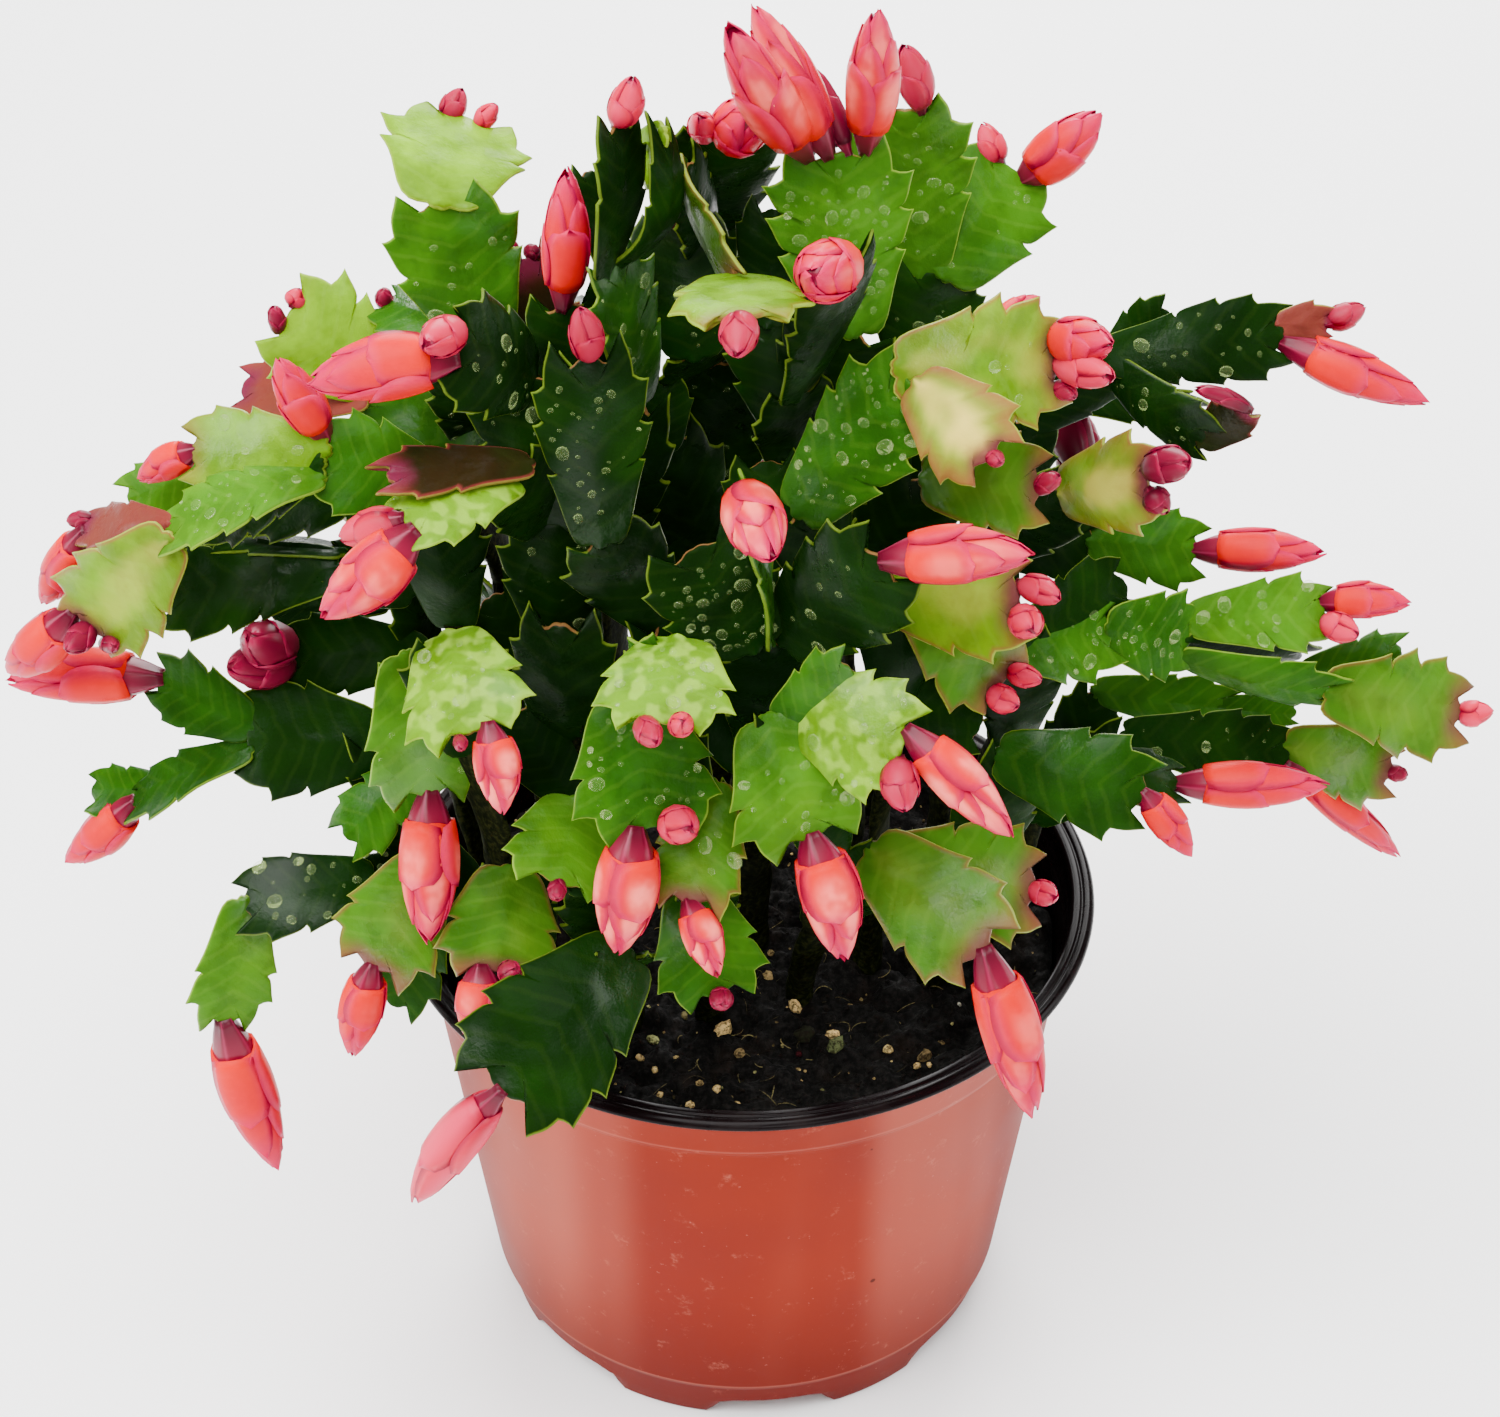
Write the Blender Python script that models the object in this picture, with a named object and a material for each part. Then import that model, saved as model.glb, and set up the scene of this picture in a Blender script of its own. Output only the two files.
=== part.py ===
"""Potted thanksgiving cactus: a nursery pot, its soil, and the leafy stems that stand in it.

Run with: blender --background --python part.py

Everything is worked out in millimetres and made in metres, with +Z up. The pot stands on z = 0 with its
axis on the origin, and "front" is the distance in front of that axis, toward the viewer (minus Y).
A stem is a chain of flat, toothed segments. Each segment starts at the tip of the one it grows from, so a
stem's row names only the tips: old joints inside the bush by their real place, and the joints that the
photograph shows by where they are seen and how far forward they stand.
"""
import math

import bpy
import bmesh
from mathutils import Matrix, Vector

MM = 0.001
MERGE_WITHIN = 0.0000001

# The pot, a six inch nursery pot, in mm
RIM_RADIUS = 77.5
RIM_HEIGHT = 112.0
LIP_DEPTH = 4.0
STEP_HEIGHT = 98.0
STEP_RADIUS = 71.0
RING_HEIGHT = 12.3
RING_RADIUS = 59.4
FOOT_RADIUS = 55.5
WALL = 1.2
FLOOR_LIFT = 6.0
PAD_RADIUS = 22.0
FOOT_COUNT = 7
POT_SIDES = 5 * FOOT_COUNT
FOOT_NOTCH_HALF = math.radians(12.0)
FOOT_NOTCH_AT = math.radians(-84.0)

# The soil and the holes that the stems stand in, in mm
SOIL_TOP = 98.2
SOIL_LUMP = 0.7
FIT_GAP = 0.3
SOIL_SIDES = 24
HOLE_DEPTH = 10.0
STALK_RADIUS = 3.2
HOLE_RADIUS = 3.62
CANE_SIDES = 6

# The view that the photograph was taken from: it turns a place seen in the picture into a sight line
PHOTO_MIDDLE = (750.0, 708.5)
PHOTO_FOCAL = 3734.0
VIEW_DISTANCE = 800.0
VIEW_RISE = math.radians(37.5)
VIEW_TARGET = Vector((1.0, 0.0, 160.7))
VIEW_BACK = Vector((0.0, -math.cos(VIEW_RISE), math.sin(VIEW_RISE)))
VIEW_UP = Vector((0.0, math.sin(VIEW_RISE), math.cos(VIEW_RISE)))
VIEW_RIGHT = Vector((1.0, 0.0, 0.0))
VIEW_EYE = VIEW_TARGET + VIEW_DISTANCE * VIEW_BACK

# A flat segment. Half of its outline runs from its neck to its tip: share of its length, share of its half
# width. Segments in the shade of the bush have the plainer outline. The rest is in mm, but for the shares.
TOOTHED_EDGE = [
    (0.00, 0.15), (0.24, 0.84), (0.57, 1.04), (0.55, 0.84), (0.83, 0.94), (0.79, 0.70), (1.04, 0.56),
]
SHADED_EDGE = [(0.00, 0.16), (0.30, 0.88), (0.66, 1.02), (0.62, 0.82), (1.04, 0.62)]
SHADED_TINTS = ("old", "dark")
MIDRIB_SHARE = 0.35
NECK_SUNK = 3.0
NECK_THICK = 2.2
MIDRIB_THICK = 3.0
APEX_THICK = 2.0

# How far from the middle of a tip the outermost thing on it starts, as a share of the tip's half width,
# for one, two, three and more things
TIP_SPREAD = (0.0, 0.26, 0.42, 0.46)
CANE_TIP_HALF = 8.0

# Old wood, in mm: half width of its first segment, what each later one adds, and half its thickness
CANE_HALF = 4.2
CANE_WIDENS = 1.4
CANE_HALF_THICK = 1.6
CANE_JOINT_HALF = 2.6
CANE_JOINT_HALF_THICK = 1.9

# A bud's rings: share of its length, share of its radius, how far its petal tips reach past the valleys
FLOWER_RINGS = [
    (0.00, 0.34, 0.0), (0.20, 0.54, 0.0), (0.31, 0.98, 0.0), (0.62, 0.92, 0.09), (0.60, 0.76, 0.09),
    (0.83, 0.56, -0.08), (0.82, 0.40, -0.08),
]
YOUNG_RINGS = [(0.00, 0.40, 0.0), (0.34, 1.00, 0.0), (0.66, 0.84, 0.12), (0.64, 0.64, 0.12)]
KNOB_RINGS = [(0.00, 0.60, 0.0), (0.50, 1.00, 0.0)]
BUD_SIDES = 6
KNOB_SIDES = 5
BUD_SUNK = 2.0

# Share of a fused stem's triangles that stay: the slivers round its joints go
FACES_KEPT = 0.69

# Each leafy stem. "root" is where it stands in the soil (x, front) and "cane" its old joints inside the
# bush (x, front, height), all in mm. A blade's row holds its name, what it grows from, where its tip is
# seen in the photograph (across and down in pixels, then its distance forward in mm), its width in mm,
# its turn about its own length in degrees, how far it bows in mm, and its tint. A bud's row holds the
# blade that carries it, where its tip is seen, its width in mm and its kind.
STEMS = {
    "stem_top_right": {
        "root": (16, -20),
        "cane": [(17, -20, 134), (20, -18, 166), (26, -15, 198)],
        "blades": [
            ("low", "cane", (800, 440, 0), 20, 25, 2, "old"),
            ("under", "low", (852, 328, 6), 24, -12, 2, "dark"),
            ("broad", "under", (836, 150, -8), 26, 4, -2, "mid"),
            ("short", "low", (796, 392, 12), 18, 30, 0, "dark"),
            ("edge", "short", (846, 262, 24), 20, 62, 2, "dark"),
            ("inner", "low", (768, 318, -6), 20, -15, 1, "dark"),
            ("inner_top", "inner", (776, 208, -16), 15, -6, 1, "dark"),
            ("right_low", "cane", (920, 385, -20), 20, -20, 2, "old"),
            ("right_mid", "right_low", (932, 270, -26), 22, 8, 1, "dark"),
            ("right_front", "right_mid", (905, 108, -30), 24, -8, -2, "mid"),
            ("right_back", "right_mid", (1012, 168, -42), 25, 6, 2, "mid"),
        ],
        "buds": [
            ("broad", (750, 3, 4), 13.0, "flower"),
            ("broad", (878, 8, 2), 11.0, "flower"),
            ("broad", (815, 68, -16), 5.5, "young"),
            ("right_front", (903, 44, -26), 7.5, "young"),
            ("right_front", (880, 62, -34), 5.5, "young"),
            ("right_back", (1102, 112, -40), 9.5, "flower"),
            ("right_back", (982, 122, -46), 6.0, "young"),
            ("edge", (812, 276, 46), 12.5, "flower"),
        ],
    },
    "stem_top_middle": {
        "root": (-6, -30),
        "cane": [(-6, -31, 132), (-6, -31, 165), (-6, -30, 198), (-6, -28, 230)],
        "blades": [
            ("back", "cane", (712, 222, -34), 18, 10, 1, "dark"),
            ("top", "back", (722, 135, -18), 23, 8, 1, "dark"),
            ("front", "cane", (694, 350, -8), 18, -20, 2, "dark"),
            ("shade", "front", (676, 222, -16), 22, -6, 2, "dark"),
            ("rise", "cane", (700, 262, -20), 16, 25, 1, "old"),
            ("over", "rise", (684, 166, -6), 14, 50, 2, "dark"),
            ("stick", "over", (737, 280, 24), 16, 74, 2, "bronze"),
            ("face", "stick", (742, 320, 48), 24, -4, 1, "light"),
            ("heart", "cane:2", (725, 362, -20), 22, 0, 2, "dark"),
            ("heart_left", "cane:1", (668, 434, -16), 19, 5, 1, "dark"),
        ],
        "buds": [
            ("shade", (668, 186, -10), 6.5, "young"),
            ("top", (700, 116, -6), 6.0, "young"),
            ("top", (750, 118, -6), 12.0, "flower"),
            ("face", (737, 356, 58), 7.5, "young"),
        ],
    },
    "stem_top_left": {
        "root": (-24, -8),
        "cane": [(-25, -8, 133), (-27, -6, 165), (-28, -3, 197)],
        "blades": [
            ("low", "cane", (637, 400, 8), 18, -15, 2, "old"),
            ("wet", "low", (611, 262, 8), 20, 52, 2, "mid"),
            ("tall", "wet", (618, 122, 4), 18, 64, 2, "dark"),
            ("arch", "wet", (662, 134, 0), 10, 60, 7, "dark"),
            ("tip", "arch", (642, 172, -8), 10, 30, 1, "light"),
            ("left_low", "cane", (586, 420, 3), 20, 10, 2, "old"),
            ("bearer", "left_low", (563, 304, 6), 19, -6, 1, "dark"),
            ("brown", "left_low", (524, 256, -8), 15, 22, 1, "bronze"),
        ],
        "buds": [
            ("tall", (634, 76, 6), 7.0, "young"),
            ("bearer", (567, 166, 6), 10.0, "flower"),
            ("brown", (511, 240, -6), 3.5, "knob"),
            ("brown", (524, 247, -10), 3.5, "knob"),
        ],
    },
    "stem_upper_left": {
        "root": (-42, -12),
        "cane": [(-45, -12, 131), (-48, -10, 162), (-51, -6, 193), (-54, -1, 225)],
        "blades": [
            ("low", "cane", (470, 335, 6), 20, 15, 2, "dark"),
            ("mid", "low", (440, 200, 2), 25, -5, 1, "mid"),
            ("leaf", "mid", (464, 119, -22), 27, 6, 2, "light"),
            ("side", "low", (385, 302, -8), 13, 30, 1, "mid"),
            ("grey", "cane", (372, 385, -2), 20, -25, 2, "mid"),
            ("pale", "grey", (286, 314, -6), 24, -18, 1, "light"),
            ("pink", "grey", (243, 388, -16), 16, 20, 1, "bronze"),
        ],
        "buds": [
            ("leaf", (463, 88, -24), 5.5, "young"),
            ("leaf", (497, 104, -20), 4.5, "young"),
            ("side", (384, 290, -6), 4.0, "knob"),
            ("pale", (301, 288, -8), 4.5, "young"),
            ("pale", (273, 306, -4), 4.0, "knob"),
        ],
    },
    "stem_left_upper": {
        "root": (-32, 16),
        "cane": [(-34, 17, 131), (-36, 18, 163), (-38, 19, 195)],
        "blades": [
            ("low", "cane", (555, 520, 20), 22, 10, 2, "dark"),
            ("nested", "low", (527, 378, 18), 25, -8, 2, "dark"),
            ("arch", "nested", (455, 345, 32), 22, 8, 3, "dark"),
            ("knee", "low", (515, 474, 34), 18, 25, 1, "dark"),
            ("leaf", "knee", (405, 527, 50), 18, 34, 2, "light"),
            ("brown", "knee", (386, 478, 42), 13, 40, 1, "bronze"),
            ("inner", "cane:1", (560, 622, 32), 20, -10, 2, "dark"),
        ],
        "buds": [
            ("arch", (423, 345, 42), 8.0, "young"),
            ("arch", (306, 384, 40), 13.5, "flower"),
            ("leaf", (320, 618, 60), 13.0, "flower"),
            ("leaf", (338, 538, 46), 8.0, "young"),
        ],
    },
    "stem_left": {
        "root": (-52, 8),
        "cane": [(-55, 9, 130), (-58, 11, 162), (-60, 14, 194)],
        "blades": [
            ("low", "cane", (430, 482, 18), 19, -12, 2, "dark"),
            ("joint", "low", (320, 458, 20), 20, 8, 1, "mid"),
            ("under", "joint", (212, 520, 8), 14, 20, 1, "dark"),
            ("pale", "joint", (192, 452, 12), 17, -6, 2, "light"),
            ("long", "joint", (166, 534, 28), 15, 38, 3, "light"),
            ("droop", "long", (88, 628, 22), 22, -10, 2, "light"),
            ("far", "long", (86, 527, 12), 11, 25, 1, "bronze"),
        ],
        "buds": [
            ("joint", (276, 357, 18), 9.5, "flower"),
            ("pale", (137, 480, 10), 7.5, "flower"),
            ("far", (66, 520, 10), 4.0, "knob"),
            ("far", (42, 604, 6), 9.0, "flower"),
            ("droop", (8, 672, 12), 11.0, "flower"),
            ("droop", (66, 650, 32), 6.0, "young"),
            ("droop", (114, 646, 30), 4.0, "knob"),
        ],
    },
    "stem_left_dark": {
        "root": (-57, -7),
        "cane": [(-63, -9, 130), (-67, -5, 162)],
        "blades": [
            ("stick", "cane", (405, 590, 4), 12, 40, 1, "dark"),
            ("knee", "stick", (335, 562, 6), 14, 20, 1, "dark"),
            ("broad", "knee", (166, 598, 2), 19, 12, 2, "dark"),
            ("strip", "knee", (198, 543, -8), 11, 66, 2, "dark"),
            ("low", "cane", (420, 655, 6), 15, -15, 1, "dark"),
            ("lower", "low", (290, 655, 6), 17, 10, 2, "dark"),
        ],
        "buds": [
            ("lower", (250, 636, 26), 8.0, "young"),
            ("lower", (228, 668, 20), 8.0, "young"),
        ],
    },
    "stem_left_lower": {
        "root": (-62, 20),
        "cane": [(-66, 22, 131)],
        "blades": [
            ("low", "cane", (375, 740, 22), 16, 12, 2, "dark"),
            ("broad", "low", (247, 738, 18), 24, -8, 2, "dark"),
            ("mid", "broad", (158, 678, 10), 16, -20, 1, "mid"),
            ("slim", "broad", (133, 803, 15), 12, 38, 2, "mid"),
            ("down", "cane", (368, 880, 34), 14, 15, 1, "dark"),
            ("grey", "down", (243, 905, 38), 17, 12, 2, "dark"),
            ("hang", "grey", (225, 1022, 42), 17, -25, 2, "light"),
        ],
        "buds": [
            ("mid", (5, 681, 6), 12.5, "flower"),
            ("slim", (65, 862, 12), 10.0, "flower"),
            ("hang", (278, 1170, 42), 13.0, "flower"),
        ],
    },
    "stem_left_front": {
        "root": (-42, 40),
        "cane": [(-45, 43, 131), (-50, 46, 160), (-56, 47, 188)],
        "blades": [
            ("wet_low", "cane", (450, 642, 52), 20, 10, 1, "dark"),
            ("wet", "wet_low", (474, 734, 72), 24, 6, 2, "light"),
            ("pale_low", "cane", (408, 660, 42), 18, -12, 1, "mid"),
            ("pale", "pale_low", (430, 795, 48), 22, -10, 2, "light"),
            ("left_low", "cane:0", (425, 868, 46), 15, 10, 1, "dark"),
            ("left", "left_low", (372, 968, 56), 22, 4, 2, "mid"),
            ("right_low", "cane:0", (508, 876, 52), 15, 10, 1, "dark"),
            ("right", "right_low", (495, 972, 64), 23, -10, 2, "mid"),
        ],
        "buds": [
            ("wet", (503, 815, 80), 9.5, "flower"),
            ("wet", (460, 748, 78), 3.0, "knob"),
            ("pale", (428, 945, 63), 13.0, "flower"),
            ("left", (352, 1057, 60), 10.0, "flower"),
            ("right", (478, 1050, 73), 11.5, "flower"),
            ("right", (516, 968, 74), 5.0, "knob"),
        ],
    },
    "stem_centre": {
        "root": (2, 4),
        "cane": [(2, 12, 132), (1, 20, 164)],
        "blades": [
            ("low", "cane", (768, 640, 38), 17, 15, 2, "old"),
            ("shade", "low", (692, 547, 38), 25, -8, 2, "dark"),
            ("edge", "low", (742, 494, 44), 12, 70, 2, "light"),
            ("broad", "low", (887, 560, 54), 24, 6, 2, "mid"),
            ("left_low", "cane", (660, 620, 26), 18, 20, 2, "old"),
            ("left_mid", "left_low", (600, 537, 32), 20, -10, 1, "dark"),
            ("left", "left_mid", (588, 356, 28), 21, 4, 2, "mid"),
        ],
        "buds": [
            ("edge", (770, 560, 70), 12.5, "flower"),
            ("broad", (1035, 555, 60), 12.0, "flower"),
            ("left", (580, 308, 36), 7.0, "young"),
        ],
    },
    "stem_centre_right": {
        "root": (27, 12),
        "cane": [(28, 18, 132), (29, 25, 160), (31, 29, 186)],
        "blades": [
            ("low", "cane", (905, 592, 32), 16, 20, 1, "old"),
            ("upper", "low", (1022, 600, 44), 23, 6, 2, "light"),
            ("lower", "low", (1003, 682, 32), 22, -8, 2, "bronze"),
            ("shade", "cane", (982, 726, 34), 18, 8, 1, "dark"),
        ],
        "buds": [
            ("upper", (1033, 630, 54), 7.0, "young"),
            ("upper", (1060, 600, 50), 6.0, "young"),
            ("lower", (1018, 706, 40), 6.0, "young"),
            ("lower", (1042, 680, 38), 5.0, "young"),
        ],
    },
    "stem_right_upper": {
        "root": (22, -2),
        "cane": [(24, 3, 133), (23, 7, 166), (20, 15, 199)],
        "blades": [
            ("low", "cane", (802, 508, 30), 18, 15, 2, "dark"),
            ("wet", "low", (912, 378, 28), 22, -8, 2, "mid"),
            ("pale", "wet", (1058, 362, 10), 24, 6, 2, "light"),
            ("bronze", "wet", (992, 458, 42), 19, 10, 2, "bronze"),
            ("low_right", "cane", (930, 480, 16), 18, 12, 2, "dark"),
            ("under", "low_right", (1040, 487, 16), 20, -6, 2, "mid"),
        ],
        "buds": [
            ("pale", (1112, 344, 20), 10.5, "flower"),
            ("pale", (1114, 378, 26), 7.5, "young"),
            ("pale", (1076, 396, 18), 4.0, "knob"),
            ("bronze", (1000, 462, 46), 3.5, "knob"),
            ("under", (1060, 476, 18), 4.5, "knob"),
        ],
    },
    "stem_far_right": {
        "root": (42, -14),
        "cane": [(44, -14, 131), (47, -16, 162), (51, -19, 191)],
        "blades": [
            ("low", "cane", (1030, 420, -28), 17, 20, 1, "dark"),
            ("knee", "low", (1112, 362, -32), 15, 30, 1, "dark"),
            ("arm", "knee", (1285, 334, -36), 17, 8, 2, "dark"),
            ("young", "arm", (1330, 322, -38), 9, 20, 0, "bronze"),
            ("droop", "knee", (1206, 440, -20), 14, 46, 2, "dark"),
            ("brown", "droop", (1246, 408, -18), 11, 15, 0, "bronze"),
            ("mid_low", "cane", (1066, 492, -4), 17, 12, 2, "dark"),
            ("mid", "mid_low", (1150, 481, 12), 19, 5, 2, "bronze"),
            ("lower_knee", "cane", (1097, 543, -14), 16, 15, 1, "dark"),
            ("lower", "lower_knee", (1198, 550, -12), 16, -8, 2, "mid"),
        ],
        "buds": [
            ("young", (1366, 306, -40), 6.0, "young"),
            ("arm", (1430, 403, -26), 10.5, "flower"),
            ("brown", (1194, 388, -14), 4.0, "knob"),
            ("mid", (1190, 463, 20), 8.0, "young"),
            ("mid", (1168, 514, 16), 6.0, "young"),
            ("lower", (1327, 553, -8), 10.0, "flower"),
        ],
    },
    "stem_right_middle": {
        "root": (52, 4),
        "cane": [(54, 9, 131), (56, 14, 162)],
        "blades": [
            ("low", "cane", (1020, 642, 22), 17, 15, 2, "dark"),
            ("wet", "low", (1112, 630, 16), 19, -6, 1, "mid"),
            ("knee", "wet", (1190, 638, 8), 18, 10, 1, "mid"),
            ("pale", "knee", (1325, 612, 0), 15, -5, 2, "light"),
            ("slim", "knee", (1332, 692, 8), 12, 46, 2, "mid"),
            ("end", "slim", (1460, 713, 0), 21, 5, 2, "light"),
            ("strip", "knee", (1300, 656, -10), 10, 50, 1, "dark"),
            ("behind", "low", (1125, 582, 8), 16, 10, 1, "dark"),
        ],
        "buds": [
            ("pale", (1412, 603, 2), 8.5, "flower"),
            ("pale", (1358, 636, 10), 6.5, "young"),
            ("end", (1494, 711, 0), 6.0, "young"),
        ],
    },
    "stem_right_lower": {
        "root": (60, -4),
        "cane": [(64, -4, 130)],
        "blades": [
            ("low", "cane", (1130, 737, 2), 15, 15, 2, "dark"),
            ("dark", "low", (1290, 757, -2), 16, -6, 2, "dark"),
            ("end", "dark", (1392, 772, -2), 17, 10, 1, "bronze"),
            ("slim_low", "cane", (1100, 690, -10), 14, 12, 2, "dark"),
            ("slim", "slim_low", (1226, 706, -14), 12, 20, 1, "mid"),
            ("slim_tip", "slim", (1296, 712, -16), 8, 20, 1, "mid"),
        ],
        "buds": [
            ("end", (1408, 776, 0), 4.0, "knob"),
            ("dark", (1400, 857, -6), 8.0, "flower"),
        ],
    },
    "stem_right_low_front": {
        "root": (41, 16),
        "cane": [(46, 27, 133)],
        "blades": [
            ("low", "cane", (1015, 757, 36), 17, 15, 2, "dark"),
            ("broad", "low", (1145, 795, 40), 20, 5, 2, "mid"),
            ("behind", "low", (1178, 783, 20), 12, -15, 2, "dark"),
        ],
        "buds": [
            ("broad", (1192, 857, 44), 8.0, "flower"),
            ("behind", (1330, 785, 22), 10.5, "flower"),
        ],
    },
    "stem_front_right": {
        "root": (12, 22),
        "cane": [(15, 36, 131), (17, 51, 163)],
        "blades": [
            ("low", "cane", (786, 716, 58), 18, 10, 2, "dark"),
            ("right", "low", (905, 748, 68), 24, 8, 2, "light"),
            ("middle", "low", (812, 838, 68), 26, -6, 2, "light"),
            ("behind", "low", (852, 668, 56), 14, 20, 1, "mid"),
            ("lower_knee", "cane:0", (885, 858, 54), 16, 15, 1, "dark"),
            ("lower", "lower_knee", (985, 952, 68), 24, 6, 2, "light"),
            ("side", "lower_knee", (1035, 890, 50), 23, -12, 2, "mid"),
        ],
        "buds": [
            ("right", (1013, 838, 78), 10.5, "flower"),
            ("right", (905, 812, 80), 8.0, "young"),
            ("middle", (845, 962, 78), 13.0, "flower"),
            ("lower", (1033, 1118, 80), 13.0, "flower"),
            ("side", (1056, 898, 56), 5.5, "young"),
        ],
    },
    "stem_front": {
        "root": (-8, 28),
        "cane": [(-8, 45, 130)],
        "blades": [
            ("low", "cane", (700, 895, 60), 15, 10, 1, "dark"),
            ("lowest", "low", (718, 995, 70), 21, -8, 2, "mid"),
            ("knee", "low", (700, 792, 58), 16, 15, 2, "dark"),
            ("bearer", "knee", (690, 905, 74), 18, 10, 2, "bronze"),
            ("left_low", "knee", (640, 700, 57), 18, -15, 1, "dark"),
            ("left", "left_low", (652, 828, 69), 27, -4, 2, "mid"),
            ("top_low", "left_low", (676, 648, 60), 16, 10, 1, "mid"),
            ("top", "top_low", (660, 725, 76), 25, 12, 2, "light"),
        ],
        "buds": [
            ("bearer", (718, 978, 84), 8.5, "flower"),
            ("lowest", (722, 1004, 76), 5.0, "knob"),
            ("left", (618, 955, 77), 13.5, "flower"),
            ("left", (692, 828, 76), 8.0, "young"),
            ("top", (656, 744, 86), 5.5, "young"),
            ("top", (682, 722, 84), 5.0, "young"),
        ],
    },
    "stem_front_left": {
        "root": (-25, 30),
        "cane": [(-27, 43, 127)],
        "blades": [
            ("low", "cane", (622, 957, 68), 15, 10, 1, "dark"),
            ("rim", "low", (500, 1093, 90), 30, 6, 3, "dark"),
            ("rise", "cane", (590, 885, 58), 15, 15, 1, "dark"),
            ("knee", "rise", (576, 808, 52), 17, 20, 1, "dark"),
            ("leaf", "knee", (558, 885, 68), 23, -10, 2, "mid"),
        ],
        "buds": [
            ("rim", (413, 1203, 84), 9.5, "flower"),
            ("leaf", (556, 900, 72), 4.0, "knob"),
        ],
    },
}

# The side away from the viewer: each stem repeats a front one, turned about the pot's axis by so many
# degrees
BACK_STEMS = {
    "stem_back_far_left": ("stem_right_lower", 133),
    "stem_back_low_left": ("stem_right_low_front", 163),
    "stem_back_left": ("stem_left_dark", -65),
    "stem_back_middle": ("stem_right_lower", 88),
    "stem_back_right": ("stem_right_middle", 61),
    "stem_back_far_right": ("stem_left_dark", -145),
}


def seen(across, down, front):
    """Point in mm on the sight line through a pixel, where it is this far in front of the pot's axis."""
    line = -VIEW_BACK + ((across - PHOTO_MIDDLE[0]) * VIEW_RIGHT
                         - (down - PHOTO_MIDDLE[1]) * VIEW_UP) / PHOTO_FOCAL
    return VIEW_EYE + line * ((-front - VIEW_EYE.y) / line.y)


def at(x, front, height):
    """Point in mm at a real place."""
    return Vector((x, -front, height))


def clear_scene():
    for old in list(bpy.data.objects):
        bpy.data.objects.remove(old, do_unlink=True)


def material(name, colour, roughness):
    made = bpy.data.materials.new(name)
    made.use_nodes = True
    shader = made.node_tree.nodes["Principled BSDF"]
    shader.inputs["Base Color"].default_value = (*colour, 1.0)
    shader.inputs["Roughness"].default_value = roughness
    shader.inputs["Metallic"].default_value = 0.0
    return made


def add_object(name, points, faces, look, origin=Vector((0.0, 0.0, 0.0))):
    """One object from points in mm, its mesh stored about its own origin."""
    mesh = bpy.data.meshes.new(name)
    mesh.from_pydata([(point - origin) * MM for point in points], [], faces)
    mesh.materials.append(look)
    made = bpy.data.objects.new(name, mesh)
    made.location = origin * MM
    bpy.context.scene.collection.objects.link(made)
    return made


def faces_out(thing):
    """Turn every face outward."""
    shape = bmesh.new()
    shape.from_mesh(thing.data)
    bmesh.ops.recalc_face_normals(shape, faces=shape.faces)
    shape.to_mesh(thing.data)
    shape.free()


def ring_faces(first, second, count):
    """Four-sided faces between two rings of the same count, given their first point numbers."""
    return [(first + i, first + (i + 1) % count, second + (i + 1) % count, second + i)
            for i in range(count)]


def turned_solid(name, profile, sides, look, lift=None):
    """Closed solid of revolution. The profile runs from the axis at one end to the axis at the other."""
    points = []
    for radius, height in profile[1:-1]:
        for i in range(sides):
            angle = FOOT_NOTCH_AT + 2.0 * math.pi * i / sides
            raised = height + (lift(radius, height, angle) if lift else 0.0)
            points.append(Vector((radius * math.cos(angle), radius * math.sin(angle), raised)))
    faces = []
    for level in range(len(profile) - 3):
        faces += ring_faces(level * sides, (level + 1) * sides, sides)
    start, end = len(points), len(points) + 1
    points += [Vector((0.0, 0.0, profile[0][1])), Vector((0.0, 0.0, profile[-1][1]))]
    last = (len(profile) - 3) * sides
    for i in range(sides):
        faces.append((start, (i + 1) % sides, i))
        faces.append((end, last + i, last + (i + 1) % sides))
    made = add_object(name, points, faces, look)
    faces_out(made)
    return made


def foot_lift(radius, height, angle):
    """Height in mm by which the foot's edge is raised inside a drainage notch."""
    if height > 0.0 or radius < PAD_RADIUS + 10.0:
        return 0.0
    pitch = 2.0 * math.pi / FOOT_COUNT
    off = (angle - FOOT_NOTCH_AT + pitch / 2.0) % pitch - pitch / 2.0
    if abs(off) > FOOT_NOTCH_HALF:
        return 0.0
    return FLOOR_LIFT


def inner_radius(height):
    """Radius of the pot's inner wall in mm, between its ring and its step."""
    share = (height - RING_HEIGHT) / (STEP_HEIGHT - RING_HEIGHT)
    return RING_RADIUS + (STEP_RADIUS - RING_RADIUS) * share - WALL


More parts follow.
